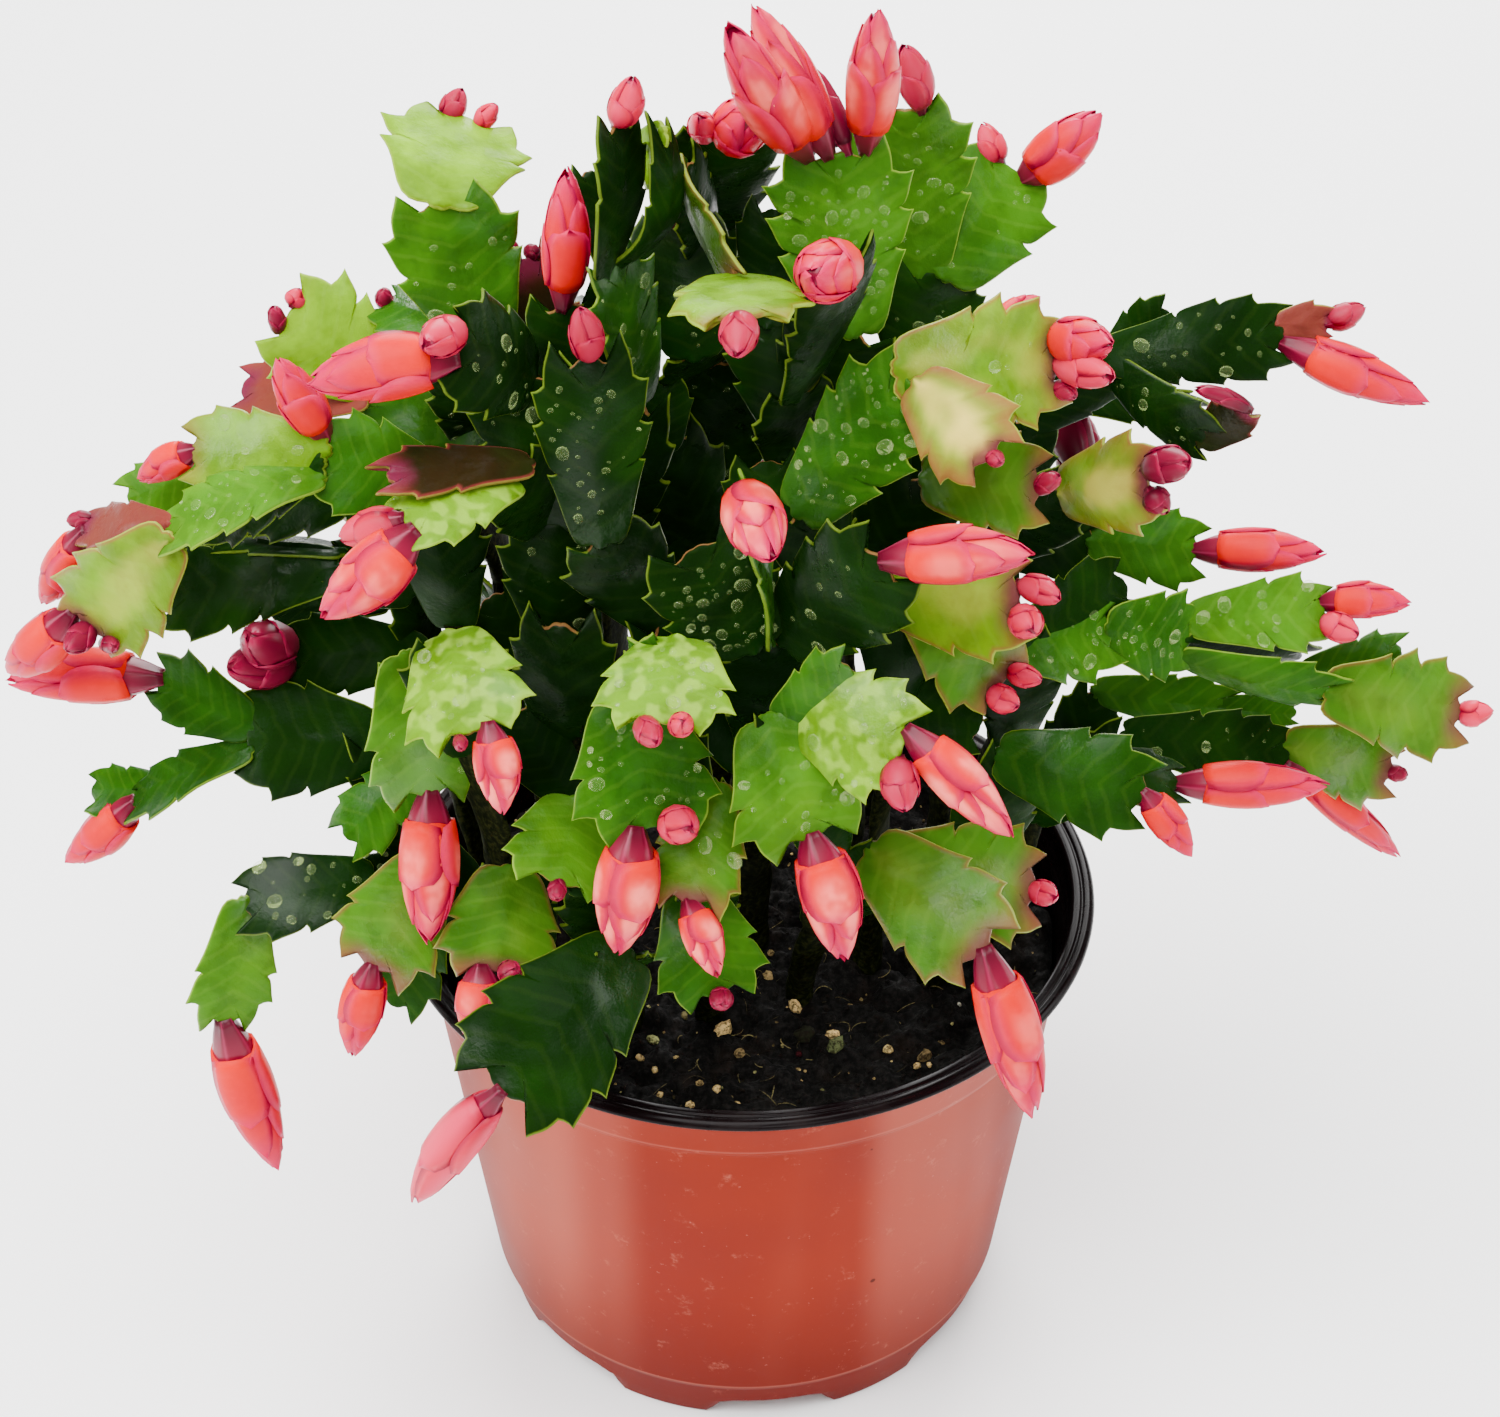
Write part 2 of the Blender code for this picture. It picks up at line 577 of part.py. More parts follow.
def make_pot(look):
    """Thin two-colour nursery pot: rolled lip, step under it, tapered wall, notched foot, middle pad."""
    lip_bottom = RIM_HEIGHT - LIP_DEPTH
    profile = [
        (0.0, 0.0), (PAD_RADIUS, 0.0), (PAD_RADIUS + 2.5, FLOOR_LIFT), (FOOT_RADIUS - 6.0, FLOOR_LIFT),
        (FOOT_RADIUS - 4.5, 0.0), (FOOT_RADIUS, 0.0),
        (RING_RADIUS - 0.8, RING_HEIGHT - 1.0), (RING_RADIUS, RING_HEIGHT), (STEP_RADIUS, STEP_HEIGHT),
        (STEP_RADIUS + 1.2, STEP_HEIGHT + 1.0), (RIM_RADIUS - 2.5, lip_bottom),
        (RIM_RADIUS, lip_bottom + 1.4),
        (RIM_RADIUS - 1.0, RIM_HEIGHT), (RIM_RADIUS - 3.6, RIM_HEIGHT - 0.8),
        (STEP_RADIUS - WALL, STEP_HEIGHT), (inner_radius(RING_HEIGHT), RING_HEIGHT),
        (FOOT_RADIUS - 2.0, FLOOR_LIFT + WALL), (0.0, FLOOR_LIFT + WALL),
    ]
    return turned_solid("pot", profile, POT_SIDES, look, foot_lift)


def soil_lumps(x, y):
    """Uneven height of the soil's surface in mm."""
    return SOIL_LUMP * (math.sin(0.19 * x + 0.6) * math.cos(0.23 * y) + 0.6 * math.sin(0.41 * y + 0.3 * x))


def make_soil(look, roots, turns):
    """Potting soil that fills the pot, with a plain hole for each stem."""
    outer_gap = FIT_GAP + 0.5
    bottom = FLOOR_LIFT + WALL + FIT_GAP
    top_radius = inner_radius(SOIL_TOP - 3.0) - outer_gap
    profile = [
        (0.0, bottom), (FOOT_RADIUS - 3.4, bottom),
        (inner_radius(RING_HEIGHT) - outer_gap, RING_HEIGHT + 1.0),
        (top_radius, SOIL_TOP - 2.0), (top_radius * 0.94, SOIL_TOP), (top_radius * 0.62, SOIL_TOP),
        (top_radius * 0.30, SOIL_TOP), (0.0, SOIL_TOP),
    ]

    def lumps(radius, height, angle):
        return soil_lumps(radius * math.cos(angle), radius * math.sin(angle)) if height == SOIL_TOP else 0.0

    soil = turned_solid("soil", profile, SOIL_SIDES, look, lumps)
    for (x, front), turn in zip(roots, turns):
        drill(soil, at(x, front, SOIL_TOP - HOLE_DEPTH - FIT_GAP), math.radians(turn))
    return soil


def drill(soil, bottom, turn):
    """Cut one stem's hole: a six-sided well, a little wider than the stalk and turned as it is."""
    points = []
    for height in (0.0, HOLE_DEPTH + 6.0):
        for i in range(CANE_SIDES):
            angle = turn + 2.0 * math.pi * i / CANE_SIDES
            corner = Vector((HOLE_RADIUS * math.cos(angle), HOLE_RADIUS * math.sin(angle), height))
            points.append(bottom + corner)
    faces = ring_faces(0, CANE_SIDES, CANE_SIDES)
    faces += [tuple(reversed(range(CANE_SIDES))), tuple(range(CANE_SIDES, 2 * CANE_SIDES))]
    cutter = add_object("hole_cutter", points, faces, soil.data.materials[0])
    faces_out(cutter)
    cut = soil.modifiers.new("hole", "BOOLEAN")
    cut.operation = "DIFFERENCE"
    cut.solver = "EXACT"
    cut.object = cutter
    apply_modifiers(soil)
    bpy.data.objects.remove(cutter, do_unlink=True)


def apply_modifiers(thing):
    """Replace an object's mesh by what its modifiers make of it."""
    bpy.context.view_layer.update()
    shown = thing.evaluated_get(bpy.context.evaluated_depsgraph_get())
    mesh = bpy.data.meshes.new_from_object(shown)
    thing.modifiers.clear()
    thing.data = mesh


def segment_frame(base, tip, turn):
    """Directions of a flat segment: along it, across it and out of its upper face.

    With no turn the face looks at the viewer as squarely as its direction allows."""
    along = (tip - base).normalized()
    face = (VIEW_BACK - VIEW_BACK.dot(along) * along).normalized()
    face = Matrix.Rotation(math.radians(turn), 3, along) @ face
    return along, along.cross(face), face


def segment(name, base, tip, width, turn, bow, tint, look):
    """One flat toothed segment: thickest along its midrib, thinning to its edge, bowed along its length.

    Both faces are the same fan of triangles, from one point of the midrib to every stretch of the edge."""
    along, across, face = segment_frame(base, tip, turn)
    start = base - along * NECK_SUNK
    length = (tip - start).length
    side = SHADED_EDGE if tint in SHADED_TINTS else TOOTHED_EDGE
    count = len(side)

    def place(share, across_share, rise):
        arch = bow * 4.0 * share * (1.0 - share)
        return start + along * (length * share) + across * (across_share * width / 2.0) + face * (arch + rise)

    points = [place(share, half, 0.0) for share, half in side]
    points += [place(share, -half, 0.0) for share, half in side]
    for share, thick in ((0.0, NECK_THICK), (MIDRIB_SHARE, MIDRIB_THICK), (1.0, APEX_THICK)):
        points += [place(share, 0.0, thick / 2.0), place(share, 0.0, -thick / 2.0)]
    faces = []
    for first in (0, count):
        for level in (0, 1):
            neck, rib, apex = (2 * count + 2 * number + level for number in range(3))
            loop = [neck] + list(range(first, first + count)) + [apex]
            faces += [(rib, loop[k], loop[k + 1]) for k in range(count + 1)]
        faces.append((2 * count, 2 * count + 1, first))
        faces.append((2 * count + 4, 2 * count + 5, first + count - 1))
    made = add_object(name, points, faces, look)
    faces_out(made)
    return made


def cane(name, root, joints, look):
    """The old wood of a stem: a stalk in its hole, then narrow jointed segments, widest near their tips."""
    path = [at(root[0], root[1], SOIL_TOP + 3.0)] + [at(*joint) for joint in joints]
    level = Vector((0.0, 0.0, 1.0))
    outward = Vector((root[0], -root[1], 0.0))
    outward = outward.normalized() if outward.length > 1.0 else Vector((1.0, 0.0, 0.0))
    rings = [(at(root[0], root[1], SOIL_TOP - HOLE_DEPTH), level, STALK_RADIUS, STALK_RADIUS),
             (path[0], level, STALK_RADIUS, STALK_RADIUS)]
    for number in range(len(path) - 1):
        step = path[number + 1] - path[number]
        half = CANE_HALF + CANE_WIDENS * number
        if number > 0:
            joint = path[number] + step * 0.05
            rings.append((joint, step.normalized(), CANE_JOINT_HALF, CANE_JOINT_HALF_THICK))
        rings.append((path[number] + step * 0.78, step.normalized(), half, CANE_HALF_THICK))
    rings.append((path[-1], step.normalized(), half * 0.6, CANE_HALF_THICK * 0.8))
    side = level.cross(outward).normalized()
    points = []
    for centre, along, half_wide, half_thick in rings:
        across = (side - side.dot(along) * along).normalized()
        face = along.cross(across)
        for i in range(CANE_SIDES):
            angle = 2.0 * math.pi * i / CANE_SIDES
            if half_wide == STALK_RADIUS:
                points.append(centre + Vector((math.cos(angle), math.sin(angle), 0.0)) * STALK_RADIUS)
            else:
                offset = angle - math.atan2(across.y, across.x)
                points.append(centre + across * (half_wide * math.cos(offset))
                              + face * (half_thick * math.sin(offset)))
    faces = []
    for level_number in range(len(rings) - 1):
        faces += ring_faces(level_number * CANE_SIDES, (level_number + 1) * CANE_SIDES, CANE_SIDES)
    last = (len(rings) - 1) * CANE_SIDES
    faces += [tuple(reversed(range(CANE_SIDES))), tuple(range(last, last + CANE_SIDES))]
    made = add_object(name, points, faces, look)
    faces_out(made)
    return made, path, across


def bud(name, base, tip, width, kind, look):
    """One bud: a narrow tube, then layers of pointed petals, each layer stepping in under the one before."""
    along = (tip - base).normalized()
    start = base - along * BUD_SUNK
    length = (tip - start).length
    rings = {"flower": FLOWER_RINGS, "young": YOUNG_RINGS, "knob": KNOB_RINGS}[kind]
    sides = KNOB_SIDES if kind == "knob" else BUD_SIDES
    across = along.cross(VIEW_BACK)
    across = across.normalized() if across.length > 0.1 else VIEW_RIGHT
    other = along.cross(across)
    points = []
    for share, size, reach in rings:
        for i in range(sides):
            angle = 2.0 * math.pi * i / sides
            place = share + (reach if i % 2 == 0 else -reach)
            radius = size * width / 2.0
            points.append(start + along * (length * place) + across * (radius * math.cos(angle))
                          + other * (radius * math.sin(angle)))
    faces = [tuple(range(sides))]
    for level in range(len(rings) - 1):
        faces += ring_faces(level * sides, (level + 1) * sides, sides)
    top = len(points)
    points.append(tip)
    last = (len(rings) - 1) * sides
    faces += [(last + i, last + (i + 1) % sides, top) for i in range(sides)]
    made = add_object(name, points, faces, look)
    faces_out(made)
    return made


def keep_largest(mesh):
    """Drop loose scraps: only the largest connected body stays."""
    shape = bmesh.new()
    shape.from_mesh(mesh)
    bmesh.ops.remove_doubles(shape, verts=shape.verts, dist=MERGE_WITHIN)
    waiting = set(shape.verts)
    groups = []
    while waiting:
        stack = [waiting.pop()]
        group = set(stack)
        while stack:
            for edge in stack.pop().link_edges:
                for vertex in edge.verts:
                    if vertex not in group:
                        group.add(vertex)
                        waiting.discard(vertex)
                        stack.append(vertex)
        groups.append(group)
    groups.sort(key=len)
    for group in groups[:-1]:
        bmesh.ops.delete(shape, geom=list(group), context="VERTS")
    shape.to_mesh(mesh)
    shape.free()


def fuse(name, body, others, origin, turn):
    """Join a stem's pieces in one closed body, its origin where it stands in the soil."""
    group = bpy.data.collections.new(name + "_pieces")
    bpy.context.scene.collection.children.link(group)
    for piece in others:
        group.objects.link(piece)
    join = body.modifiers.new("fuse", "BOOLEAN")
    join.operation = "UNION"
    join.solver = "EXACT"
    join.operand_type = "COLLECTION"
    join.collection = group
    apply_modifiers(body)
    for piece in others:
        bpy.data.objects.remove(piece, do_unlink=True)
    bpy.data.collections.remove(group)
    keep_largest(body.data)
    thin = body.modifiers.new("thin", "DECIMATE")
    thin.ratio = FACES_KEPT
    thin.use_collapse_triangulate = True
    apply_modifiers(body)
    body.data.transform(Matrix.Translation(-origin * MM))
    spin = Matrix.Rotation(math.radians(turn), 4, "Z")
    body.location = spin @ (origin * MM)
    body.rotation_euler = (0.0, 0.0, math.radians(turn))
    body.name = name
    return body


def share_out(tip, across, half_wide, growing):
    """Starting points for all that grows from one tip: side by side across it, in the order they lean."""
    leaning = sorted(growing, key=lambda spot: (seen(*spot) - tip).dot(across))
    reach = half_wide * TIP_SPREAD[min(len(leaning), len(TIP_SPREAD)) - 1]
    starts = {}
    for number, spot in enumerate(leaning):
        share = 2.0 * number / (len(leaning) - 1) - 1.0 if len(leaning) > 1 else 0.0
        starts[spot] = tip + across * (share * reach)
    return starts


def make_stem(name, row, turn, look):
    """One leafy stem: its old wood, its segments and its buds, fused."""
    body, path, across = cane(name, row["root"], row["cane"], look)
    growing = {}
    for blade in row["blades"]:
        growing.setdefault(blade[1], []).append(blade[2])
    for bearer in row["buds"]:
        growing.setdefault(bearer[0], []).append(bearer[1])
    starts = share_out(path[-1], across, CANE_TIP_HALF, growing.get("cane", []))
    for number in range(len(row["cane"])):
        starts.update(share_out(path[number + 1], across, CANE_TIP_HALF, growing.get("cane:%d" % number, [])))
    pieces = []
    for blade, parent, spot, width, twist, bow, tint in row["blades"]:
        pieces.append(segment(name + "_" + blade, starts[spot], seen(*spot), width, twist, bow, tint, look))
        across = segment_frame(starts[spot], seen(*spot), twist)[1]
        starts.update(share_out(seen(*spot), across, width / 2.0, growing.get(blade, [])))
    for number, (parent, spot, width, kind) in enumerate(row["buds"]):
        pieces.append(bud(name + "_bud_" + str(number), starts[spot], seen(*spot), width, kind, look))
    return fuse(name, body, pieces, at(*row["root"], SOIL_TOP), turn)


def turned_root(root, degrees):
    """A stem's place in the soil after a turn about the pot's axis, as (x, front)."""
    spun = Matrix.Rotation(math.radians(degrees), 3, "Z") @ at(*root, 0.0)
    return spun.x, -spun.y


def main():
    clear_scene()
    plastic = material("terracotta_plastic", (0.48, 0.07, 0.04), 0.35)
    peat = material("potting_soil", (0.02, 0.016, 0.013), 0.95)
    green = material("cactus_green", (0.06, 0.18, 0.03), 0.4)
    make_pot(plastic)
    roots = [row["root"] for row in STEMS.values()]
    roots += [turned_root(STEMS[source]["root"], turn) for source, turn in BACK_STEMS.values()]
    turns = [0] * len(STEMS) + [turn for source, turn in BACK_STEMS.values()]
    make_soil(peat, roots, turns)
    for name, row in STEMS.items():
        make_stem(name, row, 0, green)
    for name, (source, turn) in BACK_STEMS.items():
        make_stem(name, STEMS[source], turn, green)


main()
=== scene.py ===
# %% [markdown]
# # A thanksgiving cactus in its nursery pot
# The plant is a bush of flat, toothed stem segments that grow end to end and finish in layered buds.
# Everything is worked out in millimetres, with numpy, and turned to metres only when a mesh is made.
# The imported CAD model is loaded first: each piece below stands where its CAD node stands.

# %% Load the frame
import math
import bmesh
import bpy
import numpy as np
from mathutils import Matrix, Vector


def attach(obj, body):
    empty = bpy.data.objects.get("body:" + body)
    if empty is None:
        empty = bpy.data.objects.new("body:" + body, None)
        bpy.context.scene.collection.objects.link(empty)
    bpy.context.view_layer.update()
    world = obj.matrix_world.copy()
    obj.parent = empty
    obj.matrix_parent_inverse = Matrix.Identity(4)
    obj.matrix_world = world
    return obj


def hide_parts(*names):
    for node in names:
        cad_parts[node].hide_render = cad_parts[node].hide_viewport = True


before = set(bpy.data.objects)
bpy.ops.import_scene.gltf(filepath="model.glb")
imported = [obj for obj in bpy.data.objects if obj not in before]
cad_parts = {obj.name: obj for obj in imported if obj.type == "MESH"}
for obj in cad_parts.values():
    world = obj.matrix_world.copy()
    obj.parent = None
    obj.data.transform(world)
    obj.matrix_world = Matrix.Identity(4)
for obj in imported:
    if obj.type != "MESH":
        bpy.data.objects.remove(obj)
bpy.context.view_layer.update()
MM = 0.001  # a millimetre, in metres


# %% [markdown]
# ## Small tools
# A mesh is made from arrays of points and faces. Points that meet are welded, and faces are turned
# outward, so that each piece is one clean skin. Numbers that vary over the skin, such as how young a
# segment is, are kept as named colour attributes, which the materials read.

# %% Mesh from arrays
def unit(vector):
    """The vector divided by its length."""
    return vector / np.linalg.norm(vector, axis=-1, keepdims=True)


def turned(vector, axis, degrees):
    """Rodrigues' formula: the vector turned about an axis by an angle."""
    angle = math.radians(degrees)
    return (vector * math.cos(angle) + np.cross(axis, vector) * math.sin(angle)
            + axis * np.dot(axis, vector) * (1.0 - math.cos(angle)))


def grid_faces(rows, columns, first=0, round_rows=False, round_columns=False):
    """Four-sided faces of a grid of points, numbered row by row, wrapped round where asked."""
    row = np.arange(rows if round_rows else rows - 1)[:, None]
    column = np.arange(columns if round_columns else columns - 1)[None, :]
    next_row, next_column = (row + 1) % rows, (column + 1) % columns
    corners = [row * columns + column, next_row * columns + column,
               next_row * columns + next_column, row * columns + next_column]
    return np.stack([corner.ravel() for corner in corners], axis=1) + first


def repeated_faces(count, rows, columns):
    """The faces of many round grids of one size, whose points follow one another."""
    firsts = rows * columns * np.arange(count)[:, None, None]
    return (grid_faces(rows, columns, round_columns=True)[None] + firsts).reshape(-1, 4)


def add_piece(name, parts, material, weld=0.0, slot=None, replaces=(), smooth=True):
    """One object from several (points, faces, {attribute: colours}) parts, with places in millimetres.

    Each part's point numbers are raised by how many points came before it."""
    points = np.concatenate([part[0] for part in parts])
    starts = np.cumsum([0] + [len(part[0]) for part in parts[:-1]])
    faces = np.concatenate([part[1] + start for part, start in zip(parts, starts)])
    mesh = bpy.data.meshes.new(name)
    mesh.vertices.add(len(points))
    mesh.vertices.foreach_set("co", (points * MM).astype(np.float32).ravel())
    mesh.loops.add(faces.size)
    mesh.loops.foreach_set("vertex_index", faces.astype(np.int32).ravel())
    mesh.polygons.add(len(faces))
    mesh.polygons.foreach_set("loop_start", np.arange(0, faces.size, 4, dtype=np.int32))
    mesh.update(calc_edges=True)
    for attribute in parts[0][2]:
        colours = np.concatenate([part[2][attribute] for part in parts]).astype(np.float32)
        layer = mesh.attributes.new(attribute, "FLOAT_COLOR", "POINT")
        layer.data.foreach_set("color", colours.ravel())
    if weld:
        shape = bmesh.new()
        shape.from_mesh(mesh)
        bmesh.ops.remove_doubles(shape, verts=shape.verts, dist=weld * MM)
        bmesh.ops.recalc_face_normals(shape, faces=shape.faces)
        shape.to_mesh(mesh)
        shape.free()
    mesh.polygons.foreach_set("use_smooth", np.full(len(mesh.polygons), smooth))
    mesh.validate()
    mesh.materials.append(material)
    piece = bpy.data.objects.new(name, mesh)
    bpy.context.scene.collection.objects.link(piece)
    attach(piece, "root")
    if replaces:
        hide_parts(*replaces)
    return piece


# %% [markdown]
# ## The camera
# The photograph looks down at the pot by 37.5 degrees from 0.8 m. The same view, written as a sight line
# for each pixel, also says where a segment's tip is: on its sight line, so far in front of the pot's axis.

# %% Camera and sight lines
PHOTO_SIZE = np.array([1500.0, 1417.0])
PHOTO_FOCAL = 3734.0
VIEW_DISTANCE = 800.0
VIEW_RISE = math.radians(37.5)
VIEW_TARGET = np.array([1.0, 0.0, 160.7])
VIEW_BACK = np.array([0.0, -math.cos(VIEW_RISE), math.sin(VIEW_RISE)])
VIEW_UP = np.array([0.0, math.sin(VIEW_RISE), math.cos(VIEW_RISE)])
VIEW_RIGHT = np.array([1.0, 0.0, 0.0])
VIEW_EYE = VIEW_TARGET + VIEW_DISTANCE * VIEW_BACK
SENSOR_WIDTH = 36.0


def seen(across, down, front):
    """Where the sight line through a pixel is this far, in mm, in front of the pot's axis."""
    line = -VIEW_BACK + ((across - PHOTO_SIZE[0] / 2) * VIEW_RIGHT
                         - (down - PHOTO_SIZE[1] / 2) * VIEW_UP) / PHOTO_FOCAL
    return VIEW_EYE + line * ((-front - VIEW_EYE[1]) / line[1])


def at(x, front, height):
    """A real place: x to the right, front toward the viewer, height above the table."""
    return np.array([x, -front, height], float)


camera_data = bpy.data.cameras.new("camera")
camera_data.sensor_width = SENSOR_WIDTH
camera_data.lens = PHOTO_FOCAL * SENSOR_WIDTH / PHOTO_SIZE[0]
camera_data.clip_start = 0.05
camera = bpy.data.objects.new("camera", camera_data)
camera.location = VIEW_EYE * MM
camera.rotation_euler = (math.pi / 2 - VIEW_RISE, 0.0, 0.0)
bpy.context.scene.collection.objects.link(camera)
bpy.context.scene.camera = camera
print("lens", round(camera_data.lens, 1), "mm")


# %% [markdown]
# ## Tools for materials
# Colours are written as sRGB hex values, the way a picture shows them, and turned to the linear values
# that Blender works with. One function adds any node. Most masks are a smooth step of some value, so a
# socket also takes a step, written as (value, low, high) or as (value, low, high, least, most).

# %% Colour and node tools

def linear(hex_colour):
    """sRGB hex to linear: divided by 12.92 where dark, and raised to 2.4 above that."""
    values = [int(hex_colour[i:i + 2], 16) / 255.0 for i in (1, 3, 5)]
    return tuple(v / 12.92 if v <= 0.04045 else ((v + 0.055) / 1.055) ** 2.4 for v in values) + (1.0,)


def new_material(name):
    """A node material that has only its Principled shader."""
    material = bpy.data.materials.new(name)
    material.use_nodes = True
    return material


def plug(material, made, inputs):
    """Fills a node's sockets. A number or a hex colour is set and another node's output is linked. A step
    is least up to low, most from high on, and between them 3 s^2 - 2 s^3 of the way, where s is the share
    of the way from low to high."""
    for key, value in inputs.items() if isinstance(inputs, dict) else enumerate(inputs):
        if isinstance(value, tuple) and hasattr(value[0], "is_output"):
            value = node(material, "MapRange", (*value, 0.0, 1.0)[:5], interpolation_type="SMOOTHSTEP")
        if hasattr(value, "is_output"):
            material.node_tree.links.new(value, made.inputs[key])
        else:
            made.inputs[key].default_value = linear(value) if isinstance(value, str) else value


def node(material, kind, inputs=(), out=0, **settings):
    """Adds a node of any kind, sets its properties, fills its sockets and gives one of its outputs."""
    made = material.node_tree.nodes.new("ShaderNode" + kind)
    for key, value in settings.items():
        setattr(made, key, value)
    plug(material, made, inputs)
    return made.outputs[out]


def finish(material, inputs):
    """Fills sockets of the material's Principled shader."""
    plug(material, material.node_tree.nodes["Principled BSDF"], inputs)


def washed(material, colour, *washes):
    """Colours laid over a first one. For each (share, wash): colour * (1 - share) + wash * share."""
    for share, wash in washes:
        colour = node(material, "Mix", {0: share, 6: colour, 7: wash}, out=2, data_type="RGBA")
    return colour


def product(material, value, *others):
    """The values multiplied with one another."""
    for other in others:
        value = node(material, "Math", (value, other), operation="MULTIPLY")
    return value


def place_of(material):
    """The shaded place in object space, in metres."""
    return node(material, "TexCoord", out="Object")


def noise(material, scale, detail=3.0, roughness=0.55, stretch=None):
    """Noise in object space: scale is how many blotches fit in a metre, so 18 gives clouds of 55 mm and
    900 gives specks of 1.1 mm. A stretch multiplies the place first, so that a small number draws the
    blotches out along its axis."""
    place = place_of(material)
    if stretch:
        place = node(material, "VectorMath", (place, stretch), operation="MULTIPLY")
    return node(material, "TexNoise",
                {"Vector": place, "Scale": scale, "Detail": detail, "Roughness": roughness})


def near(material, value, middle, half, most):
    """A step for a band: most where |value - middle| is small, falling to nothing at half."""
    off = node(material, "Math", (value, middle), operation="SUBTRACT")
    off = node(material, "Math", (off,), operation="ABSOLUTE")
    return off, half * 0.3, half, most, 0.0


def spot(material, place, size):
    """A step for a round mark at a place in mm: 0.9 within 0.6 of its size, falling to nothing there."""
    centre = tuple(float(value) * MM for value in place)
    away = node(material, "VectorMath", (place_of(material), centre), out="Value", operation="DISTANCE")
    return away, size * MM * 0.6, size * MM, 0.9, 0.0


def channels(material, attribute):
    """The red, green, blue and alpha of a colour attribute, as four outputs."""
    colour = node(material, "Attribute", attribute_name=attribute)
    red, green, blue = node(material, "SeparateColor", (colour,)).node.outputs
    return red, green, blue, colour.node.outputs["Alpha"]


def relief(material, height, strength, depth):
    """A bump normal from a height, with the relief's real depth in metres."""
    return node(material, "Bump", {"Strength": strength, "Distance": depth, "Height": height})


# %% [markdown]
# ## The pot's plastic
# The pot is polypropylene, formed from a two-colour sheet: terracotta outside and near black inside. It
# has a satin gloss and soft pale stripes that are partly where the sheet was drawn down the mould and partly
# painted reflection. Pale bands on its left and right are painted reflections of the lamps, and there are
# fine pale scuffs where pots rub. Its foot is darker towards the bottom. Painted highlights mark its ring
# line and step, with painted shade just under the ring line.


# %% The pot's sizes
RIM_RADIUS, RIM_HEIGHT, LIP_DEPTH = 77.5, 112.0, 3.2
STEP_RADIUS, STEP_HEIGHT = 71.0, 98.0
RING_RADIUS, RING_HEIGHT = 59.4, 12.3
FOOT_RADIUS, PAD_RADIUS, FLOOR_LIFT, WALL = 55.5, 22.0, 6.0, 1.2
FOOT_COUNT, FOOT_NOTCH_AT = 7, math.radians(-84.0)
POT_SIDES = 210
WALL_TRIES = 20


def seen_on_wall(across, down):
    """Where a pixel's sight line meets the tapered wall: the distance in front of the axis is corrected until
    the place is as far from the axis as the wall is at its height."""
    front = 60.0
    for _ in range(WALL_TRIES):
        place = seen(across, down, front)
        wall = np.interp(place[2], [0.0, RING_HEIGHT, STEP_HEIGHT], [FOOT_RADIUS, RING_RADIUS, STEP_RADIUS])
        front = math.sqrt(max(wall ** 2 - place[0] ** 2, 0.0))
    return seen(across, down, front)


print("a nick in the wall, in mm:", seen_on_wall(873, 1281).round(1))


# %% Terracotta polypropylene
terracotta = new_material("terracotta_polypropylene")
cloud = noise(terracotta, 18.0, 2.0)
streaks_and_painted_reflection = noise(terracotta, 34.0, 2.0, 0.5, stretch=(1.0, 1.0, 0.05))
scuff = noise(terracotta, 170.0, 8.0, 0.75)
dust = noise(terracotta, 900.0, 2.0)
height = node(terracotta, "SeparateXYZ", (place_of(terracotta),), out="Z")
aside = node(terracotta, "SeparateXYZ", (place_of(terracotta),), out="X")
# Painted reflections of the soft lamps: pale vertical bands at these x places, each as middle, half width and
# strength, in metres
painted_reflection_bands = ((-0.047, 0.016, 0.5), (-0.034, 0.014, 0.3), (0.036, 0.013, 0.4), (0.049, 0.009, 0.3))
nicks = ((873, 1281, 0.8), (961, 1296, 0.5), (910, 1355, 0.6), (872, 1150, 0.4))
skin = washed(
    terracotta, "#731A09",
    ((cloud, 0.35, 0.7), "#7D210D"),
    # Pale stripes down the wall, partly mould marks and partly painted reflection, then the painted
    # reflection bands
    ((streaks_and_painted_reflection, 0.52, 0.75, 0.0, 0.22), "#A04A38"),
    *((near(terracotta, aside, *band), "#A85444") for band in painted_reflection_bands),
    # Darker towards the bottom
    ((height, 0.004, 0.060, 0.72, 0.0), "#560F05"),
    ((scuff, 0.58, 0.72, 0.0, 0.4), "#B86A56"),
    # Painted shade just under the ring line, and painted highlights on the step and on the ring line
    ((height, 0.0105, 0.0125, 0.45, 0.0), "#5A0E08"),
    (near(terracotta, height, 0.0989, 0.0005, 0.15), "#C07A6A"),
    (near(terracotta, height, 0.0130, 0.0005, 0.3), "#B06A5A"),
    *((spot(terracotta, seen_on_wall(across, down), size), "#3A0A06") for across, down, size in nicks),
    ((dust, 0.71, 0.78, 0.0, 0.45), "#B06A5C"))
finish(terracotta, {"Base Color": skin, "Roughness": (cloud, 0.3, 0.7, 0.48, 0.60),
                    "Specular IOR Level": 0.06,
                    "Normal": relief(terracotta, noise(terracotta, 260.0), 0.08, 0.0002)})
print("pale bands and nicks:", len(painted_reflection_bands), len(nicks))

# %% Black polypropylene
black_plastic = new_material("black_polypropylene")
smear = noise(black_plastic, 120.0, 4.0)
finish(black_plastic, {"Base Color": washed(black_plastic, "#0A0405", ((smear, 0.45, 0.75), "#130C0C")),
                       "Roughness": (smear, 0.3, 0.8, 0.20, 0.36), "Specular IOR Level": 0.07})


# %% [markdown]
# ## The pot
# The real pot is one thin wall pulled over a mould. Here it is a lathe form: a profile of radius and
# height, carried round the axis as one grid. The outside and the black lining are two pieces that meet on
# the lip. Seven notches lift the foot's edge, as a smooth bump of the angle.

